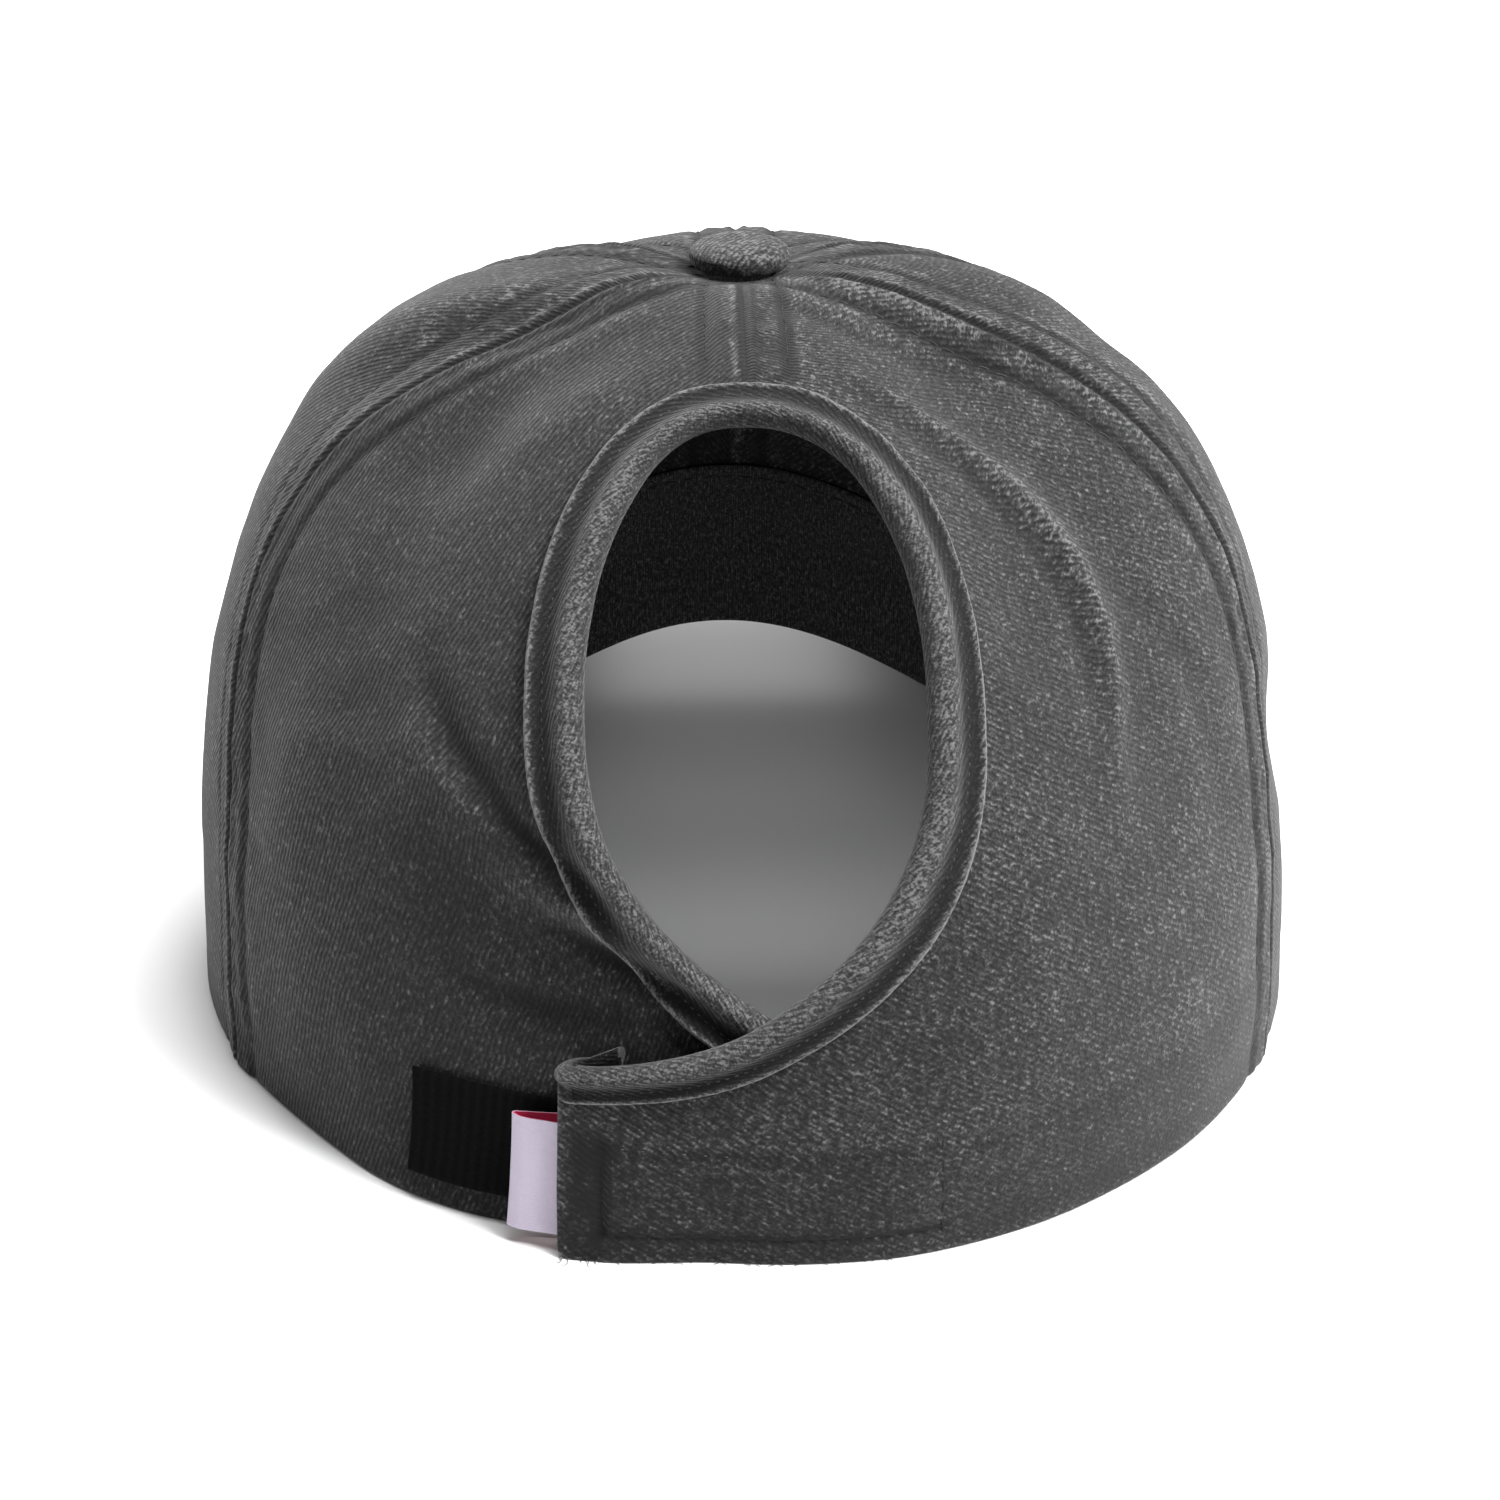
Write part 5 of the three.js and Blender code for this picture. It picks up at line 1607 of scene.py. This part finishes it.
def add_node(
    tree: bpy.types.NodeTree,
    kind: str,
    settings: dict | None = None,
    inputs: dict | None = None,
) -> bpy.types.Node:
    """Adds a node to a tree.

    Args:
        tree: The tree of a material or of the stitches.
        kind: The node's type.
        settings: Properties set first; "stops" holds a ramp's positions and colours.
        inputs: Values, Shades or sockets for its inputs, by name or number.

    Returns:
        The node.
    """
    made = tree.nodes.new(kind)
    for key, value in (settings or {}).items():
        if key == "stops":
            ramp = made.color_ramp
            while len(ramp.elements) < len(value):
                ramp.elements.new(0.5)
            for element, (position, colour) in zip(ramp.elements, value):
                element.position, element.color = position, (*colour, 1.0)
        else:
            setattr(made, key, value)
    for key, value in (inputs or {}).items():
        value = value.socket if isinstance(value, Shade) else value
        if isinstance(value, bpy.types.NodeSocket):
            tree.links.new(value, made.inputs[key])
        else:
            made.inputs[key].default_value = value
    return made


class Bench:
    """Builds one material's node tree."""

    def __init__(self, name: str) -> None:
        """Starts a material with one Principled shader."""
        self.material = bpy.data.materials.new(name)
        self.material.use_nodes = True
        self.tree = self.material.node_tree
        self.tree.nodes.clear()
        self.shader = self.node("ShaderNodeBsdfPrincipled")
        output = self.node("ShaderNodeOutputMaterial")
        self.tree.links.new(self.shader.outputs[0], output.inputs[0])

    def node(self, kind: str, settings: dict | None = None, inputs: dict | None = None) -> bpy.types.Node:
        """Adds a node to the material."""
        return add_node(self.tree, kind, settings, inputs)

    def attribute(self, name: str) -> Shade:
        """A value stored on the mesh."""
        made = self.node("ShaderNodeAttribute", {"attribute_type": "GEOMETRY", "attribute_name": name})
        return Shade(self, made.outputs["Fac"])

    def cloth(self, angle: float, scale: tuple[float, float] = (1.0, 1.0)) -> bpy.types.NodeSocket:
        """Cloth coordinates in millimetres, turned by an angle in degrees and stretched."""
        source = self.node("ShaderNodeUVMap", {"uv_map": "cloth"})
        turned = self.node(
            "ShaderNodeMapping",
            {"vector_type": "POINT"},
            {"Vector": source.outputs[0], "Rotation": (0, 0, math.radians(angle)), "Scale": (1000, 1000, 1)},
        )
        values = {0: turned.outputs[0], 1: (*scale, 1)}
        size = self.node("ShaderNodeVectorMath", {"operation": "MULTIPLY"}, values)
        return size.outputs[0]

    def solid_place(self, size: float) -> bpy.types.NodeSocket:
        """Object coordinates in units of a size in millimetres."""
        source = self.node("ShaderNodeTexCoord")
        values = {0: source.outputs["Object"], "Scale": 1000 / size}
        scaled = self.node("ShaderNodeVectorMath", {"operation": "SCALE"}, values)
        return scaled.outputs[0]

    def noise(self, place: bpy.types.NodeSocket, detail: float) -> Shade:
        """Noise from -1 to 1, about, with cells of size 1."""
        values = {"Vector": place, "Scale": 1.0, "Detail": detail}
        made = self.node("ShaderNodeTexNoise", {"noise_dimensions": "3D"}, values)
        return Shade(self, made.outputs[0]) * 2.0 - 1.0

    def part(self, place: bpy.types.NodeSocket, axis: str) -> Shade:
        """One coordinate of a place."""
        return Shade(self, self.node("ShaderNodeSeparateXYZ", inputs={0: place}).outputs[axis])

    def finish(self, colour: bpy.types.NodeSocket, relief: Shade, depth: float, strength: float) -> None:
        """Feeds the shader's colour and bump.

        Args:
            colour: Base colour.
            relief: Height for the bump.
            depth: Millimetres that a relief of 1 stands.
            strength: Strength of the bump.
        """
        bump = self.node(
            "ShaderNodeBump",
            inputs={"Strength": strength, "Distance": depth * METRE, "Height": relief},
        )
        self.tree.links.new(bump.outputs[0], self.shader.inputs["Normal"])
        self.tree.links.new(colour, self.shader.inputs["Base Color"])


Colour = tuple[float, float, float]


@dataclass(frozen=True)
class TwillFinish:
    """Washed cotton twill: diagonal ribs, salt-and-pepper yarns, worn pale ridges and painted shade in its
    grooves.
    """

    name: str
    grain: float = 40.0
    pitch: float = 0.86
    dark: Colour = (0.0022, 0.0022, 0.0023)
    low: Colour = (0.0082, 0.0082, 0.0084)
    middle: Colour = (0.0178, 0.0178, 0.0181)
    pale: Colour = (0.042, 0.042, 0.0424)
    light: Colour = (0.105, 0.105, 0.1055)
    shift: float = 0.0
    rib: float = 0.11
    yarn: float = 0.6
    speck: float = 0.62
    clump: float = 0.62
    mottle: float = 0.27
    blotch: float = 0.08
    # Weight of the painted tone: worn paleness with painted light and shade.
    worn: float = 0.26
    stretch: tuple[float, float] = (2.1, 0.95)
    lining_shade: float = 0.2
    relief: float = 0.12
    roughness: float = 0.96
    sheen: float = 0.12

    def build(self) -> bpy.types.Material:
        """The material."""
        bench = Bench(self.name)
        flat = bench.cloth(self.grain)
        yarns = bench.cloth(self.grain, self.stretch)
        steps = (0.0, 0.3, 0.52, 0.74, 1.0)
        colours = (self.dark, self.low, self.middle, self.pale, self.light)
        blur = bench.noise(bench.cloth(0.0, (0.09, 0.09)), 3.0)
        ribs = (bench.part(flat, "X") * (2 * math.pi / self.pitch) + blur * 5.0).sine()
        yarn = bench.noise(yarns, 2.0)
        speck = bench.noise(bench.cloth(self.grain + 75, (2.6, 1.9)), 1.0)
        clump = bench.noise(bench.cloth(self.grain + 20, (1.15, 0.8)), 1.0)
        mottle = bench.noise(bench.cloth(0.0, (0.42, 0.36)), 2.0)
        blotch = bench.noise(bench.solid_place(22.0), 3.0)
        wear = bench.attribute("wear")
        lining = bench.attribute("lining")
        tone = ribs * self.rib + yarn * self.yarn + speck * self.speck
        tone = tone + clump * self.clump + mottle * self.mottle + blotch * self.blotch
        tone = tone + wear * self.worn + (0.5 + self.shift) - lining * self.lining_shade
        stops = {"stops": tuple(zip(steps, colours))}
        ramp = bench.node("ShaderNodeValToRGB", stops, {0: tone.clipped()})
        bench.shader.inputs["Roughness"].default_value = self.roughness
        bench.shader.inputs["Specular IOR Level"].default_value = 0.18
        bench.shader.inputs["Sheen Weight"].default_value = self.sheen
        bench.shader.inputs["Sheen Roughness"].default_value = 0.6
        bench.finish(ramp.outputs[0], ribs * 0.5 + yarn * 0.9 + speck * 0.6 + clump * 0.5, self.relief, 0.6)
        return bench.material


@dataclass(frozen=True)
class FastenerFinish:
    """Black loop or hook tape with fine upright ribs."""

    name: str
    pitch: float = 1.5
    dark: Colour = (0.0006, 0.0006, 0.0007)
    pale: Colour = (0.005, 0.005, 0.0052)

    def build(self) -> bpy.types.Material:
        """The material."""
        bench = Bench(self.name)
        flat = bench.cloth(0.0)
        ribs = (bench.part(flat, "X") * (2 * math.pi / self.pitch)).sine()
        fuzz = bench.noise(bench.cloth(0.0, (2.4, 1.6)), 3.0)
        tone = ribs * 0.18 + fuzz * 0.4 + bench.attribute("wear") * 0.25 + 0.4
        stops = {"stops": ((0.0, self.dark), (1.0, self.pale))}
        ramp = bench.node("ShaderNodeValToRGB", stops, {0: tone.clipped()})
        bench.shader.inputs["Roughness"].default_value = 0.9
        bench.shader.inputs["Specular IOR Level"].default_value = 0.06
        bench.finish(ramp.outputs[0], ribs * 0.6 + fuzz, 0.12, 0.6)
        return bench.material


@dataclass(frozen=True)
class RibbonFinish:
    """Pale lilac satin ribbon, crimson on its inner face."""

    name: str
    pale: Colour = (0.47, 0.42, 0.52)
    shade: Colour = (0.39, 0.34, 0.44)
    inside: Colour = (0.62, 0.014, 0.085)
    pitch: float = 0.34

    def build(self) -> bpy.types.Material:
        """The material."""
        bench = Bench(self.name)
        flat = bench.cloth(0.0)
        weft = (bench.part(flat, "Y") * (2 * math.pi / self.pitch)).sine()
        warp = bench.noise(bench.cloth(0.0, (3.2, 0.8)), 2.0)
        tone = (weft * 0.12 + warp * 0.3 + bench.attribute("wear") * 0.3 + 0.6).clipped()
        face = bench.node(
            "ShaderNodeMix",
            {"data_type": "RGBA"},
            {"Factor": tone, 6: (*self.shade, 1), 7: (*self.pale, 1)},
        )
        lined = bench.node(
            "ShaderNodeMix",
            {"data_type": "RGBA"},
            {"Factor": bench.attribute("lining").clipped(), 6: face.outputs[2], 7: (*self.inside, 1)},
        )
        bench.shader.inputs["Roughness"].default_value = 0.55
        bench.shader.inputs["Sheen Weight"].default_value = 0.2
        bench.finish(lined.outputs[2], weft * 0.6 + warp * 0.5, 0.05, 0.4)
        return bench.material


@dataclass(frozen=True)
class ThreadFinish:
    """Twisted cotton thread, a little uneven in colour."""

    name: str
    dark: Colour
    pale: Colour

    def build(self) -> bpy.types.Material:
        """The material."""
        bench = Bench(self.name)
        uneven = bench.noise(bench.solid_place(3.0), 2.0)
        stops = {"stops": ((0.2, self.dark), (0.8, self.pale))}
        ramp = bench.node("ShaderNodeValToRGB", stops, {0: (uneven * 0.6 + 0.5).clipped()})
        bench.shader.inputs["Roughness"].default_value = 0.85
        bench.shader.inputs["Specular IOR Level"].default_value = 0.25
        twist = bench.noise(bench.solid_place(0.5), 1.0)
        bench.finish(ramp.outputs[0], twist, 0.05, 0.5)
        return bench.material


Place = tuple[float, float, float]
CAP_MIDDLE: Place = (0.0, 0.03, 0.06)


@dataclass(frozen=True)
class Lamp:
    """A square softbox that the camera doesn't see: place, aim and size in metres."""

    name: str
    place: Place
    aim: Place
    size: float
    watts: float

    def hang(self) -> None:
        """Puts the lamp into the scene."""
        data = bpy.data.lights.new(self.name, "AREA")
        data.shape, data.size, data.energy = "SQUARE", self.size, self.watts
        made = bpy.data.objects.new(self.name, data)
        made.location = self.place
        way = Vector(self.aim) - Vector(self.place)
        made.rotation_euler = way.to_track_quat("-Z", "Y").to_euler()
        made.visible_camera = False
        bpy.context.scene.collection.objects.link(made)


@dataclass
class Studio:
    """Pale floor, soft lights and the camera."""

    target: tuple[float, float, float] = (0.12, 29.36, 55.0)
    camera: tuple[float, float, float] = (16.9, 630.6, 301.6)
    lens: float = 96.79
    shift: tuple[float, float] = (0.0053, -0.0737)
    floor_half: float = 4.0
    world: float = 0.27
    lamps: tuple[Lamp, ...] = (
        Lamp("softbox_key", (-0.95, 0.5, 1.3), CAP_MIDDLE, 0.7, 47.0),
        Lamp("softbox_top", (-0.25, -0.2, 1.5), CAP_MIDDLE, 0.9, 34.0),
        Lamp("softbox_front", (0.85, -1.1, 0.5), CAP_MIDDLE, 0.6, 10.0),
        Lamp("glow_near", (0.0, 0.05, 0.085), (0.0, 0.08, 0.0), 0.03, 0.012),
        Lamp("glow_inside", (0.0, 0.055, 0.06), (0.0, -0.07, 0.08), 0.04, 0.02),
        Lamp("glow_middle", (0.0, -0.045, 0.013), (0.0, -0.045, 0.0), 0.05, 0.0006),
        Lamp("glow_far", (0.0, -0.1, 0.011), (0.0, -0.1, 0.0), 0.05, 0.0026),
    )

    def floor(self) -> None:
        """A wide pale sheet of paper to stand on."""
        mesh = bpy.data.meshes.new("studio_floor")
        h = self.floor_half
        mesh.from_pydata([(-h, -h, 0), (h, -h, 0), (h, h, 0), (-h, h, 0)], [], [(0, 1, 2, 3)])
        made = bpy.data.objects.new("studio_floor", mesh)
        bpy.context.scene.collection.objects.link(made)
        bench = Bench("studio_paper")
        grain = bench.noise(bench.solid_place(60.0), 2.0)
        stops = {"stops": ((0.0, (0.86,) * 3), (1.0, (0.88,) * 3))}
        ramp = bench.node("ShaderNodeValToRGB", stops, {0: (grain * 0.5 + 0.5).clipped()})
        bench.shader.inputs["Roughness"].default_value = 0.95
        bench.finish(ramp.outputs[0], grain, 0.01, 0.05)
        mesh.materials.append(bench.material)

    def lights(self) -> None:
        """Hangs the lamps and sets a bright surround."""
        world = bpy.data.worlds.new("studio")
        world.use_nodes = True
        world.node_tree.nodes["Background"].inputs["Color"].default_value = (1, 1, 1, 1)
        world.node_tree.nodes["Background"].inputs["Strength"].default_value = self.world
        bpy.context.scene.world = world
        for lamp in self.lamps:
            lamp.hang()
        bpy.context.scene.view_settings.view_transform = "Standard"

    def view(self) -> None:
        """The photograph's camera."""
        data = bpy.data.cameras.new("view")
        data.lens, data.sensor_width = self.lens, 36.0
        data.shift_x, data.shift_y = self.shift
        data.clip_start, data.clip_end = 0.05, 20.0
        made = bpy.data.objects.new("view", data)
        place, target = Vector(self.camera) * METRE, Vector(self.target) * METRE
        made.location = place
        made.rotation_euler = (target - place).to_track_quat("-Z", "Y").to_euler()
        bpy.context.scene.collection.objects.link(made)
        bpy.context.scene.camera = made

    def build(self) -> None:
        """Sets the whole stage."""
        self.view()
        self.floor()
        self.lights()


@dataclass(frozen=True)
class PanelTone:
    """One panel's grain angle, tone and specks; the wearer's left panels are set darker as painted shade."""

    grain: float
    shift: float
    speck: float


# Tones differ from panel to panel; the wearer's left panels are set darker, as painted shade for the side
# that gets less light.
PANEL_TONES: dict[str, PanelTone] = {
    "back_panel_right": PanelTone(58.0, -0.075, 0.62),
    "back_panel_left": PanelTone(-18.0, -0.19, 0.45),
    "side_panel_right": PanelTone(50.0, -0.07, 0.62),
    "side_panel_left": PanelTone(-30.0, -0.09, 0.45),
    "front_panel_right": PanelTone(45.0, -0.03, 0.62),
    "front_panel_left": PanelTone(-45.0, -0.05, 0.5),
}


def dress(piece: bpy.types.Object, material: bpy.types.Material, node: str | None) -> None:
    """Finishes a piece: material, slot, the node that it stands for and its body.

    Args:
        piece: The finished object.
        material: Its material.
        node: The node that it replaces, or None.
    """
    piece.data.materials.clear()
    piece.data.materials.append(material)
    if node:
        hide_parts(node)
    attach(piece, ROOT)
    LOG.info("%s: %d vertices", piece.name, len(piece.data.vertices))


def frame_shift(cloth: Cloth) -> tuple[float, float, float]:
    """Where the cap's own origin lies in the row frame, in millimetres, from the button's box."""
    low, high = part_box("top_button")
    middle = (low + high) / 2 / METRE
    return (middle.x, middle.y + cloth.form.top_forward, 0.0)


def main() -> None:
    """Builds the cap from its classes and sets the stage."""
    logging.basicConfig(level=logging.INFO, format="%(message)s")
    cloth = Cloth()
    maker = Maker(frame_shift(cloth))
    Studio().build()

    panels = CrownPanels(maker, cloth)
    tape = OpeningTape(maker, cloth, panels)
    tabs = ClosingTabs(maker, cloth)
    visor = VisorCover(maker, cloth)
    band = InnerBand(maker, cloth)
    button = CoveredButton(maker, cloth)

    for node, piece in panels.build().items():
        panel_tone = PANEL_TONES[node]
        twill = TwillFinish("twill_" + node, grain=panel_tone.grain, shift=panel_tone.shift, speck=panel_tone.speck)
        dress(piece, twill.build(), node)
    tape_twill = TwillFinish(
        "tape_twill",
        grain=115.0,
        stretch=(3.0, 0.9),
        yarn=0.75,
        rib=0.08,
        clump=0.24,
        mottle=0.16,
    )
    dress(tape.build(), tape_twill.build(), "opening_binding")
    dress(visor.build(), TwillFinish("visor_twill", lining_shade=0.04).build(), "visor")
    button_twill = TwillFinish("button_twill", grain=35.0, shift=0.03)
    dress(button.build(), button_twill.build(), "top_button")
    band_cotton = TwillFinish(
        "band_cotton",
        grain=0.0,
        pitch=0.5,
        shift=0.08,
        clump=0.1,
        mottle=0.05,
        worn=0.0,
        lining_shade=0.0,
    )
    dress(band.build(), band_cotton.build(), "sweatband")

    fastener = FastenerFinish("fastener_black").build()
    parts = tabs.build()
    dress(parts["loop_patch"], fastener, "loop_patch")
    dress(parts["hook_patch"], fastener, "hook_patch")
    dress(parts["side_tag"], RibbonFinish("ribbon_lilac").build(), "side_tag")
    grey_thread, dark_thread, tape_thread, pale_thread = (
        ThreadFinish(name, (dark,) * 3, (pale,) * 3).build()
        for name, dark, pale in (
            ("thread_grey", 0.008, 0.04),
            ("thread_dark", 0.006, 0.012),
            ("thread_tape", 0.016, 0.07),
            ("thread_pale", 0.04, 0.14),
        )
    )
    dress(parts["frays"], pale_thread, None)

    machine = StitchMachine(maker)
    sewing = (
        (SEAM_STITCH, panels.seam_rows(), grey_thread),
        (TAPE_STITCH, tape.rows(), tape_thread),
        (TAB_DOT, panels.tab_rows(True), pale_thread),
        (TAB_STITCH, panels.tab_rows(False), dark_thread),
        (VISOR_STITCH, visor.stitch_rows(), grey_thread),
        (BAND_STITCH, band.stitch_rows(), dark_thread),
    )
    for style, rows, thread in sewing:
        dress(machine.sew(style, rows, thread), thread, None)


if __name__ == "__main__":
    main()
